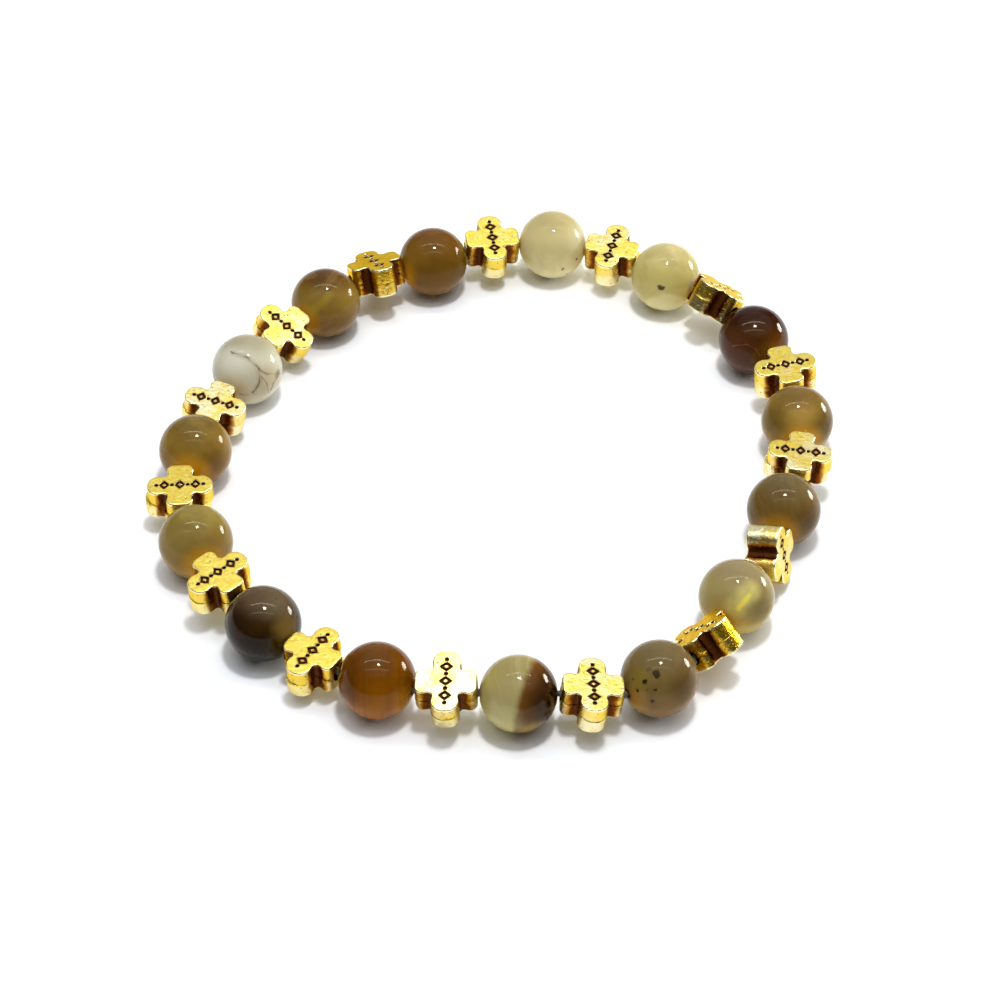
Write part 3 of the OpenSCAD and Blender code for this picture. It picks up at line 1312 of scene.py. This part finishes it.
AGATES = (
    Agate(
        "agate_smoke",
        top=srgb(106, 69, 20), middle=srgb(111, 78, 20), low=srgb(122, 84, 25),
        cloud_colour=srgb(90, 60, 12),
        patches=(Patch(-0.65, 0.0, 0.4, srgb(136, 98, 30), 0.6, 0.9),),
    ),
    Agate(
        "agate_cream",
        top=srgb(176, 161, 112), middle=srgb(206, 192, 138), low=srgb(236, 222, 164),
        cloud_colour=srgb(194, 180, 124), cloud=0.4, glow=0.3,
        patches=(Patch(0.75, 0.15, 0.35, srgb(206, 198, 166), 0.5, 0.8),),
        specks=(
            Speck(0.69, -0.49, 0.05, srgb(92, 78, 52)),
            Speck(0.30, -0.78, 0.065, srgb(108, 92, 62)),
            Speck(0.39, -0.90, 0.045, srgb(102, 86, 60)),
        ),
    ),
    Agate(
        "agate_cream",
        top=srgb(204, 190, 134), middle=srgb(202, 188, 116), low=srgb(222, 206, 128),
        cloud_colour=srgb(160, 144, 80), clearness=0.1, glow=0.15,
        patches=(
            # Painted glow at the stone's foot.
            Patch(0.0, -0.95, 0.62, srgb(242, 230, 166), 0.85, 0.16),
            Patch(0.85, -0.3, 0.3, srgb(164, 164, 160), 0.7, 0.7),
        ),
        specks=(
            Speck(-0.23, -0.38, 0.085, srgb(70, 50, 26)),
            Speck(-0.15, -0.41, 0.07, srgb(78, 56, 30)),
        ),
    ),
    Agate(
        "agate_umber",
        top=srgb(44, 17, 4), middle=srgb(66, 34, 7), low=srgb(74, 36, 14),
        cloud_colour=srgb(48, 22, 9), glow=0.15,
        patches=(
            Patch(0.05, 0.05, 0.4, srgb(78, 44, 8), 0.55, 0.9),
            Patch(-0.65, -0.35, 0.5, srgb(94, 56, 38), 0.6, 0.7),
            # Painted glow: the amber edge where the gold next to it shines in.
            Patch(0.68, -0.2, 0.36, srgb(118, 66, 14), 0.5, 0.9),
        ),
        veins=(
            Vein(
                ((-0.86, -0.36), (-0.6, -0.2), (-0.27, -0.17), (-0.02, -0.3), (0.1, -0.5)),
                srgb(176, 108, 92), 0.011, 0.45, 0.02,
            ),
            Vein(
                ((-0.75, -0.6), (-0.45, -0.76), (-0.1, -0.86), (0.2, -0.84)),
                srgb(160, 92, 76), 0.011, 0.36, 0.02,
            ),
        ),
    ),
    Agate(
        "agate_smoke",
        top=srgb(118, 92, 40), middle=srgb(138, 110, 46), low=srgb(168, 134, 56),
        cloud_colour=srgb(108, 84, 38),
        patches=(
            # Painted light: the lighter middle is a glow, the darker sides painted shade.
            Patch(0.02, 0.05, 0.38, srgb(184, 150, 70), 0.65, 0.9),
            Patch(-0.8, 0.0, 0.38, srgb(90, 70, 28), 0.6, 0.9),
            Patch(0.82, -0.1, 0.42, srgb(74, 56, 24), 0.75, 0.9),
        ),
    ),
    Agate(
        "agate_ash",
        top=srgb(98, 82, 48), middle=srgb(108, 82, 34), low=srgb(128, 96, 40),
        cloud_colour=srgb(94, 70, 26), glow=0.5,
        # Painted shade on the right side.
        patches=(Patch(0.74, -0.28, 0.42, srgb(82, 56, 22), 0.75, 0.9),),
        bands=(Bands(1.0, 0.4, 0.3, 1.6, srgb(132, 112, 72), 0.35, 0.35),),
    ),
    Agate(
        "agate_ash",
        top=srgb(146, 130, 92), middle=srgb(172, 156, 98), low=srgb(208, 182, 90),
        cloud_colour=srgb(132, 114, 62), clearness=0.1, glow=0.4,
        patches=(
            # Painted shade on the right side.
            Patch(0.7, -0.25, 0.45, srgb(108, 84, 38), 0.7, 0.8),
            Patch(-0.35, 0.1, 0.45, srgb(162, 146, 92), 0.5, 0.9),
        ),
        veins=(
            Vein(((-0.1, -0.27), (0.06, -0.07), (0.28, 0.16)), srgb(226, 212, 128), 0.2, 0.7, 0.03),
            Vein(((-0.02, -0.27), (0.12, -0.1), (0.26, 0.06)), YELLOW_STREAK, 0.05, 0.85, 0.02),
        ),
    ),
    Agate(
        "agate_smoke",
        top=srgb(108, 92, 58), middle=srgb(122, 100, 54), low=srgb(138, 104, 52),
        cloud_colour=srgb(96, 76, 34), glow=0.35,
        patches=(
            # Painted glint at the left; the next patch is painted shade on the right side.
            Patch(-0.55, 0.02, 0.2, srgb(128, 112, 30), 0.6, 0.8),
            Patch(0.68, -0.12, 0.42, srgb(78, 52, 24), 0.7, 0.8),
        ),
        specks=(
            Speck(-0.12, 0.17, 0.1, srgb(38, 30, 10)),
            Speck(-0.30, 0.30, 0.07, srgb(64, 54, 26), 0.7),
            Speck(-0.42, -0.04, 0.07, srgb(20, 15, 5)),
            Speck(-0.60, -0.25, 0.06, srgb(24, 18, 6)),
            Speck(-0.14, -0.23, 0.042, srgb(30, 22, 8)),
            Speck(-0.22, -0.51, 0.052, srgb(24, 18, 6)),
            Speck(-0.36, -0.22, 0.03, srgb(36, 28, 12)),
            Speck(-0.70, 0.0, 0.034, srgb(36, 28, 12)),
        ),
    ),
    Agate(
        "agate_ash",
        top=srgb(152, 138, 84), middle=srgb(172, 158, 104), low=srgb(212, 198, 112),
        cloud_colour=srgb(142, 128, 76), clearness=0.1, glow=0.25,
        patches=(
            Patch(0.947, -0.293, 1.3, srgb(112, 66, 10), 0.95, 0.07),
            Patch(0.9, -0.1, 0.82, srgb(44, 21, 7), 0.9, 0.45),
            Patch(0.25, -0.9, 0.3, srgb(190, 160, 60), 0.5, 0.8),
            Patch(-0.75, 0.35, 0.3, srgb(190, 172, 78), 0.35, 0.9),
            Patch(-0.45, -0.6, 0.4, srgb(216, 206, 150), 0.6, 0.8),
        ),
        bands=(Bands(0.9, 0.3, 0.2, 5.0, srgb(182, 170, 122), 0.35, 0.1),),
        specks=(
            Speck(0.81, 0.02, 0.1, srgb(20, 14, 12)),
            Speck(0.74, -0.23, 0.1, srgb(20, 14, 12)),
        ),
    ),
    Agate(
        "agate_amber",
        top=srgb(100, 60, 6), middle=srgb(118, 68, 0), low=srgb(166, 100, 2),
        cloud_colour=srgb(88, 46, 2), cloud=0.3, glow=0.3,
        patches=(
            Patch(-0.8, 0.1, 0.5, srgb(78, 38, 5), 0.6, 0.9),
            # Painted glow: brighter amber low in the middle, as light passing through.
            Patch(0.12, -0.5, 0.5, srgb(166, 100, 6), 0.4, 0.9),
        ),
        bands=(Bands(1.0, 0.0, 0.05, 4.5, srgb(88, 46, 6), 0.4, 0.06),),
    ),
    Agate(
        "agate_umber",
        top=srgb(88, 70, 46), middle=srgb(60, 38, 8), low=srgb(12, 5, 3),
        cloud_colour=srgb(40, 24, 12), glow=0.05,
        patches=(
            Patch(0.5, 0.5, 0.4, srgb(106, 92, 66), 0.6, 0.8),
            Patch(0.68, -0.1, 0.34, srgb(122, 98, 44), 0.75, 0.7),
            Patch(-0.7, 0.0, 0.5, srgb(30, 14, 9), 0.7, 0.8),
            Patch(0.05, -0.8, 0.6, srgb(14, 6, 4), 0.8, 0.6),
        ),
        specks=(Speck(0.38, 0.66, 0.05, srgb(70, 62, 54), 0.7),),
    ),
    Agate(
        "agate_ash",
        top=srgb(140, 124, 58), middle=srgb(136, 114, 56), low=srgb(158, 118, 34),
        cloud_colour=srgb(104, 80, 32), cloud=0.45,
        patches=(
            Patch(-0.7, -0.1, 0.45, srgb(146, 124, 68), 0.6, 0.7),
            Patch(0.7, 0.2, 0.4, srgb(130, 102, 46), 0.6, 0.7),
        ),
    ),
    Agate(
        "agate_smoke",
        top=srgb(106, 84, 34), middle=srgb(138, 108, 40), low=srgb(148, 100, 26),
        cloud_colour=srgb(104, 80, 30), cloud=0.4,
        # Painted shade on the right side.
        patches=(Patch(0.72, -0.3, 0.42, srgb(98, 70, 26), 0.65, 0.9),),
        bands=(Bands(0.6, 0.8, 0.0, 2.5, srgb(142, 116, 52), 0.4, 0.3),),
    ),
    Agate(
        "agate_milk",
        top=srgb(158, 150, 122), middle=srgb(205, 202, 181), low=srgb(216, 208, 184),
        cloud_colour=srgb(178, 172, 140), cloud=0.4, glow=0.2,
        patches=(
            Patch(0.9, -0.14, 0.13, srgb(118, 92, 58), 0.85, 0.6),
            Patch(0.68, -0.25, 0.42, srgb(176, 158, 116), 0.6, 0.9),
            Patch(-0.3, 0.05, 0.5, srgb(222, 220, 204), 0.6, 0.9),
        ),
        veins=(
            Vein(
                (
                    (-0.72, 0.62), (-0.33, 0.42), (0.07, 0.30), (0.38, -0.04),
                    (0.43, -0.38), (0.24, -0.66), (-0.2, -0.94),
                ),
                srgb(98, 80, 56), 0.016, 0.95, 0.05,
            ),
            # A wider, fainter line along the crack: painted shadow beside it.
            Vein(
                ((-0.33, 0.42), (0.07, 0.30), (0.38, -0.04), (0.43, -0.38), (0.24, -0.66)),
                srgb(140, 122, 94), 0.055, 0.35, 0.05,
            ),
            Vein(
                ((0.93, -0.12), (0.78, -0.4), (0.69, -0.62)), srgb(112, 86, 56), 0.018, 0.85, 0.05
            ),
            Vein(((0.4, -0.05), (0.6, -0.17), (0.9, -0.13)), srgb(126, 100, 66), 0.022, 0.75, 0.05),
            Vein(((0.47, -0.25), (0.6, -0.42), (0.62, -0.7)), srgb(120, 98, 66), 0.012, 0.7, 0.05),
            Vein(((-0.52, -0.45), (-0.1, -0.75), (0.3, -0.72)), DULL_CRACK, 0.012, 0.7, 0.04),
        ),
    ),
    Agate(
        "agate_smoke",
        top=srgb(76, 42, 4), middle=srgb(138, 110, 44), low=srgb(118, 82, 24),
        cloud_colour=srgb(102, 74, 26),
        veins=(
            Vein(((-0.42, -0.36), (-0.1, -0.1), (0.16, 0.14)), srgb(158, 134, 44), 0.09, 0.6, 0.03),
        ),
        bands=(Bands(-0.6, 0.75, 0.2, 3.0, srgb(142, 116, 60), 0.35, 0.25),),
    ),
)


@dataclass(frozen=True)
class AntiqueGold:
    """Gold plate over a casting, with dark paste left in its hollows.

    Depths are measured down from the cross's face and margins in from an edge, in millimetres,
    each from where a mask starts to where it is full. A level is the same for a mask. Some colours
    are painted light: a highlight on the rounded rim, shade on the upper walls, a reflection of the
    white table on the lower walls, and glare in the pale clouds, which are partly wear.
    """

    bright: Colour = (0.94, 0.78, 0.18, 1.0)
    deep: Colour = (0.90, 0.66, 0.07, 1.0)
    # Orange gold: real stains, and painted shade on the upper walls.
    orange: Colour = (0.82, 0.52, 0.05, 1.0)
    # Pale silver gold: for wear, for painted glare and for the painted reflection of the white
    # table on the lower walls.
    silvery: Colour = (0.96, 0.91, 0.62, 1.0)
    # Painted highlight colour for the rounded rim of the face.
    rim_highlight: Colour = (1.0, 0.93, 0.55, 1.0)
    flushed: Colour = (0.78, 0.45, 0.015, 1.0)
    amber: Colour = (0.50, 0.20, 0.012, 1.0)
    russet: Colour = (0.16, 0.040, 0.004, 1.0)
    paste: Colour = (0.055, 0.014, 0.003, 1.0)
    face_roughness: float = 0.34
    wall_roughness: float = 0.2
    gloss: float = 0.15
    gloss_tint: Colour = (1.0, 0.84, 0.42, 1.0)
    relief_metres: float = 0.00006
    wall_depths: Span = (0.06, 0.26)
    rim_foot: Span = (0.36, 0.18)
    rim_crest: Span = (0.003, 0.03)
    sunk_depths: Span = (0.02, 0.08)
    sunk_floor: Span = (0.5, 0.4)
    smudge_depths: Span = (0.1, 0.04)
    smudge_reach: Span = (1.5, 1.1)
    row_margin: Span = (0.16, 0.06)
    bar_margin: Span = (0.45, 0.55)
    root_margin: float = 0.12
    crevice_reach: Span = (1.8, 0.3)
    crevice_wander: float = 1.1
    amber_level: Span = (0.1, 0.4)
    russet_level: Span = (0.32, 0.72)
    corner_dark_level: Span = (0.75, 1.15)
    pit_size: Span = (0.24, 0.1)
    pitted: Mottle = Mottle(1.7, 2.0, 0.46, 0.58)
    stained: Mottle = Mottle(1.5, 6.0, 0.5, 0.68, 0.7)
    grainy: Mottle = Mottle(9.0, 2.0, 0.48, 0.7)
    smudged: Mottle = Mottle(2.0, 3.0, 0.34, 0.56)
    seam_filled: Mottle = Mottle(2.6, 3.0, 0.4, 0.55)
    reddened: Mottle = Mottle(1.1, 3.0, 0.36, 0.6)

    def _smudge(self, x: Wire, y: Wire, row: Ornament) -> Wire:
        """Masks the thin rim of paste left around each lozenge.

        Args:
            x: Distance from the bar's middle line.
            y: Distance along the bar from the middle of the cross.
            row: The sunk row.

        Returns:
            The mask.
        """
        nearest = abs(y)
        for place in range(1, row.lozenges // 2 + 1):
            nearest = nearest.least(abs(y - 2 * row.pitch * place))
        reach = x * (2 / row.height) + nearest * (2 / row.width)
        return reach.step(*self.smudge_reach)

    def material(self, name: str, sizes: CastCross, seat: CrossSeat) -> bpy.types.Material:
        """Builds the plating of one cross.

        Args:
            name: The material's name.
            sizes: The cross's sizes, which say where its hollows are.
            seat: How this cross has worn.

        Returns:
            The material.
        """
        paint = Paint(name)
        own = paint.attribute(BEAD_PLACE).outputs["Vector"]
        parts = paint.add("ShaderNodeSeparateXYZ", None, {"Vector": own})
        side = Wire(paint, parts.outputs["Z"])
        x, y, z = (abs(Wire(paint, socket)) for socket in parts.outputs)
        place = paint.place()
        top, row = sizes.thickness / 2, sizes.ornament

        def within(distance: Wire, edge: float, margins: Span) -> Wire:
            """Returns a mask that grows between two margins inside an edge."""
            return distance.step(edge - margins[0], edge - margins[1])

        wall = within(z, top, self.wall_depths)
        rim = within(z, top, self.rim_foot) * within(z, top, self.rim_crest)
        coarse = paint.cloud(place, 0.9, detail=3.0)
        fine = paint.cloud(place, 5.0, detail=5.0, roughness=0.75)
        pits = paint.cells(paint.stirred(place, 3.0, 0.12), 2.3).step(*self.pit_size)
        pits = pits * self.pitted.over(paint, place)
        stain = self.stained.over(paint, place)
        grain = self.grainy.over(paint, place)

        root = sizes.arm_root / 2 + self.root_margin
        corner = ((x - root) * (x - root) + (y - root) * (y - root)) ** 0.5
        wandered = corner + (coarse - 0.5) * self.crevice_wander
        # Darker towards the inner corners between the arms, graded from amber over russet to the
        # darkest colour; corner_darkening sets how strongly.
        crevice = wall * wandered.step(*self.crevice_reach) * seat.corner_darkening
        in_row = x.step(*(row.height / 2 + margin for margin in self.row_margin))
        in_row = in_row * within(y, sizes.width / 2, self.bar_margin)
        sunk = within(z, top, self.sunk_depths) * within(z, top, self.sunk_floor) * in_row
        smudge = self._smudge(x, y, row) * within(z, top, self.smudge_depths)
        smudge = smudge * self.smudged.over(paint, place)
        seam = Wire(paint, paint.attribute(SEAM).outputs["Fac"]).step(0.2, 0.6)
        seam = seam * self.seam_filled.over(paint, place)

        # Pale clouds: partly wear on the plating, partly painted glare where the gold looks blown
        # out.
        pale = (paint.cloud(place, 0.35) + (seat.pale - 0.5)).step(0.38, 0.72)
        flush = self.reddened.over(paint, place) * 0.4 + 0.6
        # The darkest share of the corner darkening.
        paste = crevice.step(*self.corner_dark_level) * 0.8
        dirt = sunk.most(seam * 0.45).most(paste).most(pits * 0.7).held()
        gold: Value = self.bright
        for share, colour in (
            (coarse.step(0.35, 0.7) * 0.6, self.deep),
            (pale * 0.85, self.silvery),
            # Painted shade: the upper walls turn darker orange, as if facing the dim surroundings.
            (wall * side.step(0.0, 0.35) * (0.6 - 0.5 * seat.pale), self.orange),
            # Painted reflection: the lower walls turn pale silver, as if mirroring the white table.
            (wall * side.step(-0.05, -0.45) * min(1.0, 0.4 + seat.pale), self.silvery),
            (stain * 0.6 * (1 - rim), self.orange),
            (grain * 0.35 * (1 - rim), self.flushed),
            (flush * seat.warm, self.flushed),
            (smudge * 0.6, self.amber),
            # Painted highlight along the rounded rim of the face.
            (rim * 0.85, self.rim_highlight),
            (crevice.step(*self.amber_level) * 0.9, self.amber),
            (crevice.step(*self.russet_level), self.russet),
            (dirt, self.paste),
        ):
            gold = paint.mix(share, gold, colour)
        rough = wall * (self.wall_roughness - self.face_roughness) + self.face_roughness
        rough = rough + (fine - 0.5) * 0.4 - rim * 0.1 + dirt * 0.35
        dimples = paint.cloud(place, 2.3)
        height = fine * 0.7 + dimples * 1.1 + coarse * 0.5 - pits * 0.9
        return paint.finish(
            {
                "Base Color": gold,
                "Metallic": 1 - dirt * 0.9,
                "Roughness": rough,
                "Specular IOR Level": self.gloss,
                "Specular Tint": self.gloss_tint,
                "Normal": paint.bump(height, 0.8, self.relief_metres),
            }
        )


@dataclass(frozen=True)
class ClearElastic:
    """Clear stretch cord, painted dark as shade everywhere but along one bare stretch."""

    unshaded: Colour = (0.90, 0.92, 0.94, 1.0)
    hazy: Colour = srgb(196, 202, 212)
    painted_shade: Colour = (0.16, 0.14, 0.12, 1.0)
    unshaded_reach: float = 1.3
    shade_reach: float = 2.2
    index: float = 1.45
    clearness: float = 0.35
    relief_metres: float = 0.00005

    def material(self, name: str, unshaded_place: Array) -> bpy.types.Material:
        """Builds the cord's material, with the fine lengthwise haze of drawn elastic.

        Args:
            name: The material's name.
            unshaded_place: The middle of the stretch left without painted shade, in millimetres.

        Returns:
            The material.
        """
        paint = Paint(name)
        haze = paint.cloud(paint.place(), 4.0, detail=3.0)
        away = paint.measure("DISTANCE", paint.place(), tuple(unshaded_place))
        tint = paint.mix(haze.step(0.35, 0.7), self.unshaded, self.hazy)
        # Painted shade: the cord darkens away from the bare stretch, standing for the shadowed gaps
        # between beads.
        cord_shade = away.step(self.unshaded_reach, self.shade_reach)
        return paint.finish(
            {
                "Base Color": paint.mix(cord_shade, tint, self.painted_shade),
                "Roughness": 0.12 + 0.2 * haze,
                "IOR": self.index,
                "Transmission Weight": self.clearness,
                "Normal": paint.bump(haze, 0.2, self.relief_metres),
            }
        )


@dataclass(frozen=True)
class WhiteCard:
    """Matt white card, a little uneven."""

    shade: Colour = (0.91, 0.93, 0.96, 1.0)
    light: Colour = (0.94, 0.955, 0.98, 1.0)
    roughness: float = 0.7
    gloss: float = 0.2

    def material(self) -> bpy.types.Material:
        """Builds the card's material.

        Returns:
            The material.
        """
        paint = Paint("white_card")
        grain = paint.cloud(paint.place(), 0.8, detail=3.0)
        return paint.finish(
            {
                "Base Color": paint.mix(grain, self.shade, self.light),
                "Roughness": self.roughness,
                "Specular IOR Level": self.gloss,
            }
        )


class Stringer:
    """Puts finished beads on the string, each as a piece of its own."""

    def __init__(self) -> None:
        """Builds the tree that seats a bead."""
        tree = ShapeTree("seat_on_string")
        place = tree.input("Place", "NodeSocketVector")
        turn = tree.input("Turn", "NodeSocketRotation")
        finish = tree.input("Finish", "NodeSocketMaterial")
        own = tree.add(
            "GeometryNodeStoreNamedAttribute",
            {"data_type": "FLOAT_VECTOR", "domain": "POINT"},
            {
                "Geometry": tree.inputs.outputs["Geometry"],
                "Name": BEAD_PLACE,
                "Value": tree.add("GeometryNodeInputPosition").outputs["Position"],
            },
        )
        turned = tree.moved(own.outputs["Geometry"], Translation=place, Rotation=turn)
        tree.close(tree.moved(turned, Scale=(METRES_PER_MM,) * 3), finish)
        self.tree = tree

    def seat(
        self,
        name: str,
        mesh: bpy.types.Mesh,
        place: Array,
        turn: Matrix,
        finish: bpy.types.Material,
        sharp_over: float,
    ) -> bpy.types.Object:
        """Seats one bead.

        Args:
            name: The piece's name.
            mesh: The bead about its own middle, in millimetres.
            place: Where its middle goes, in millimetres.
            turn: How it is turned.
            finish: Its material.
            sharp_over: The angle, in degrees, past which an edge stays sharp.

        Returns:
            The piece, at the origin, with its place in its mesh.
        """
        how = {"Place": tuple(place), "Turn": tuple(turn.to_euler()), "Finish": finish}
        made = self.tree.run(mesh, how)
        made.name = name
        made.shade_smooth()
        made.set_sharp_from_angle(angle=math.radians(sharp_over))
        return stood(name, made)


def hand_over(piece: bpy.types.Object, node: str) -> None:
    """Lets a piece ride with the bracelet in the place of its solid.

    Args:
        piece: The finished piece.
        node: The solid that it stands for.
    """
    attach(piece, BODY)
    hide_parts(node)
    LOG.info("%s: %d faces, stands for %s", piece.name, len(piece.data.polygons), node)


@dataclass
class Stones:
    """The fifteen agate stones."""

    layout: StringLayout
    stringer: Stringer
    form: DrilledStone = field(default_factory=DrilledStone)
    sharp_over: float = 60.0

    def build(self) -> None:
        """Makes, dresses and seats every stone."""
        for place, look in enumerate(AGATES):
            number = f"{place + 1:02d}"
            piece = self.stringer.seat(
                f"agate_{number}",
                self.form.turned(self.layout.bore_way(place)),
                self.layout.stones[place],
                Matrix.Identity(4),
                look.material(f"polished_agate_{number}", self.layout.bore_way(place)),
                self.sharp_over,
            )
            hand_over(piece, f"stone_{number}")


@dataclass
class Crosses:
    """The fifteen gold crosses."""

    layout: StringLayout
    stringer: Stringer
    form: CastCross = field(default_factory=CastCross)
    plating: AntiqueGold = field(default_factory=AntiqueGold)
    sharp_over: float = 32.0

    def build(self) -> None:
        """Makes, dresses and seats every cross."""
        form = self.form
        row = form.ornament.row(form.thickness / 2, form.hole_radius, form.length + 1)
        cutter = stood("cross_cutter", row)
        for place, seat in enumerate(CROSS_SEATS):
            number = f"{place + 1:02d}"
            piece = self.stringer.seat(
                f"gold_cross_{number}",
                form.cast(1.7 * place + 0.4, seat.slip, cutter),
                self.layout.crosses[place],
                seat.axes(self.layout.string_way(place)),
                self.plating.material(f"antique_gold_{number}", form, seat),
                self.sharp_over,
            )
            hand_over(piece, f"cross_{number}")
        bpy.data.objects.remove(cutter)


@dataclass
class ElasticCord:
    """The clear cord through every bead."""

    layout: StringLayout
    diameter: float = 0.6
    inset: float = 0.15
    follows: float = 0.75
    cross_length: float = 6.4
    sides: int = 16
    steps: int = 6

    def _route(self) -> list[Array]:
        """Works out the cord's corners.

        Returns:
            The points where it goes in and out of each stone and then of each cross.
        """
        route = []
        for place in range(PAIRS):
            seat = CROSS_SEATS[place]
            way = self.layout.string_way(place)
            start = self.layout.mouth(place, 1)
            middle = self.layout.crosses[place]
            stem = np.array(seat.axes(way).to_3x3().col[0])
            reach = self.cross_length / 2 - self.inset
            route.append(self.layout.mouth(place, -1, self.inset))
            route.append(self.layout.mouth(place, 1, self.inset))
            for end in (-reach, reach):
                centred = middle + end * stem
                straight = start + ((middle - start) @ way + end) * way
                route.append(straight + self.follows * (centred - straight))
        return route

    def _tree(self) -> ShapeTree:
        """Builds the tree that draws a round cord along a closed line.

        Returns:
            The tree, whose inputs are the cord's radius and its finish.
        """
        tree = ShapeTree("draw_cord")
        radius = tree.input("Radius", "NodeSocketFloat")
        finish = tree.input("Finish", "NodeSocketMaterial")
        corners = {"Mesh": tree.inputs.outputs["Geometry"]}
        line = tree.add("GeometryNodeMeshToCurve", None, corners).outputs["Curve"]
        round_turns = {"spline_type": "CATMULL_ROM"}
        smooth = tree.add("GeometryNodeCurveSplineType", round_turns, {"Curve": line})
        steps = {"Geometry": smooth.outputs["Curve"], "Resolution": self.steps}
        fine = tree.add("GeometryNodeSetSplineResolution", None, steps).outputs["Geometry"]
        section = {"Resolution": self.sides, "Radius": radius}
        ring = tree.add("GeometryNodeCurvePrimitiveCircle", None, section).outputs["Curve"]
        sweep = {"Curve": fine, "Profile Curve": ring}
        tube = tree.add("GeometryNodeCurveToMesh", None, sweep)
        tree.close(tube.outputs["Mesh"], finish)
        return tree

    def build(self) -> None:
        """Draws the cord and seats it."""
        route = np.array(self._route()) * METRES_PER_MM
        edges = [(k, (k + 1) % len(route)) for k in range(len(route))]
        mesh = self._tree().run(
            plain_mesh("cord_line", route, edges=edges),
            {
                "Radius": self.diameter / 2 * METRES_PER_MM,
                "Finish": ClearElastic().material("clear_elastic", self.layout.mouth(2, 1)),
            },
        )
        mesh.name = "clear_cord"
        mesh.shade_smooth()
        hand_over(stood("clear_cord", mesh), "elastic_cord")


class LampShape(Enum):
    """The outline of an area lamp."""

    ROUND = "DISK"
    OVAL = "ELLIPSE"
    STRIP = "RECTANGLE"


@dataclass(frozen=True)
class Lamp:
    """One area lamp, in metres, aimed at the middle of the bracelet."""

    name: str
    shape: LampShape
    place: tuple[float, float, float]
    size: tuple[float, float]
    watts: float

    def hang(self) -> None:
        """Puts the lamp in the scene."""
        data = bpy.data.lights.new(self.name, "AREA")
        data.shape = self.shape.value
        data.size, data.size_y = self.size
        data.energy = self.watts
        lamp = stood(self.name, data)
        lamp.location = self.place
        lamp.rotation_euler = (-Vector(self.place)).to_track_quat("-Z", "Y").to_euler()


@dataclass(frozen=True)
class Studio:
    """The white table, the lamps and the camera."""

    camera_place: tuple[float, float, float] = (0.00053, -0.24737, 0.22949)
    lens: float = 109.48
    table: float = 1.5
    canopy: tuple[float, float, float] = (0.06, 0.2, 1.0)
    canopy_edge: Span = (0.56, 0.78)
    zenith_edge: Span = (0.93, 0.99)
    horizon: float = 0.09
    canopy_glow: float = 0.79
    zenith_glow: float = 0.45
    back_wall: tuple[float, float, float] = (-0.1, 1.0, 0.12)
    back_edge: Span = (0.8, 0.98)
    back_glow: float = 0.5
    tint: Colour = (0.95, 0.975, 1.0, 1.0)
    card: WhiteCard = WhiteCard()
    sensor: float = 36.0
    lamps: tuple[Lamp, ...] = (
        Lamp("overhead_spot", LampShape.ROUND, (0.035, -0.008, 0.5), (0.07, 0.07), 1.2),
        Lamp("far_strip", LampShape.STRIP, (0.0, 0.125, 0.48), (0.62, 0.03), 0.6),
        Lamp("near_strip", LampShape.STRIP, (0.0, -0.125, 0.48), (0.62, 0.03), 0.24),
        Lamp("side_lamp", LampShape.OVAL, (0.52, 0.275, 0.09), (0.20, 0.155), 2.0),
    )

    def _table_top(self) -> None:
        """Lays the white table."""
        half = self.table / 2
        corners = [(-half, -half, 0.0), (half, -half, 0.0), (half, half, 0.0), (-half, half, 0.0)]
        mesh = plain_mesh("white_table", corners, [(0, 1, 2, 3)])
        mesh.materials.append(self.card.material())
        stood("white_table", mesh)

    def _camera(self) -> None:
        """Sets the camera at the photograph's angle."""
        data = bpy.data.cameras.new("camera")
        data.sensor_width = self.sensor
        data.lens = self.lens
        data.clip_start = 0.01
        camera = stood("camera", data)
        camera.location = self.camera_place
        camera.rotation_euler = (math.pi / 2 - SIGHT_LINE, 0.0, 0.0)
        bpy.context.scene.camera = camera

    def build(self) -> None:
        """Sets up the whole studio."""
        scene = bpy.context.scene
        world = scene.world or bpy.data.worlds.new("room")
        scene.world = world
        world.use_nodes = True
        room = Graph(world.node_tree)
        sky = room.add("ShaderNodeTexCoord")
        canopy, back = (tuple(unit(np.array(way))) for way in (self.canopy, self.back_wall))
        near_canopy = room.measure("DOT_PRODUCT", sky.outputs["Generated"], canopy)
        rise = self.canopy_glow - self.horizon
        strength = near_canopy.step(*self.canopy_edge) * rise + self.horizon
        strength = strength + near_canopy.step(*self.zenith_edge) * self.zenith_glow
        toward_back = room.measure("DOT_PRODUCT", sky.outputs["Generated"], back)
        strength = strength + toward_back.step(*self.back_edge) * self.back_glow
        background = room.add(
            "ShaderNodeBackground", None, {"Color": self.tint, "Strength": strength}
        )
        room.add("ShaderNodeOutputWorld", None, {"Surface": background.outputs["Background"]})
        scene.view_settings.view_transform = "Standard"
        self._table_top()
        for lamp in self.lamps:
            lamp.hang()
        self._camera()


def main() -> None:
    """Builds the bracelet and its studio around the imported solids."""
    logging.basicConfig(level=logging.INFO, format="%(message)s")
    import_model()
    layout = StringLayout()
    stringer = Stringer()
    Studio().build()
    Stones(layout, stringer).build()
    Crosses(layout, stringer).build()
    ElasticCord(layout).build()


if __name__ == "__main__":
    main()
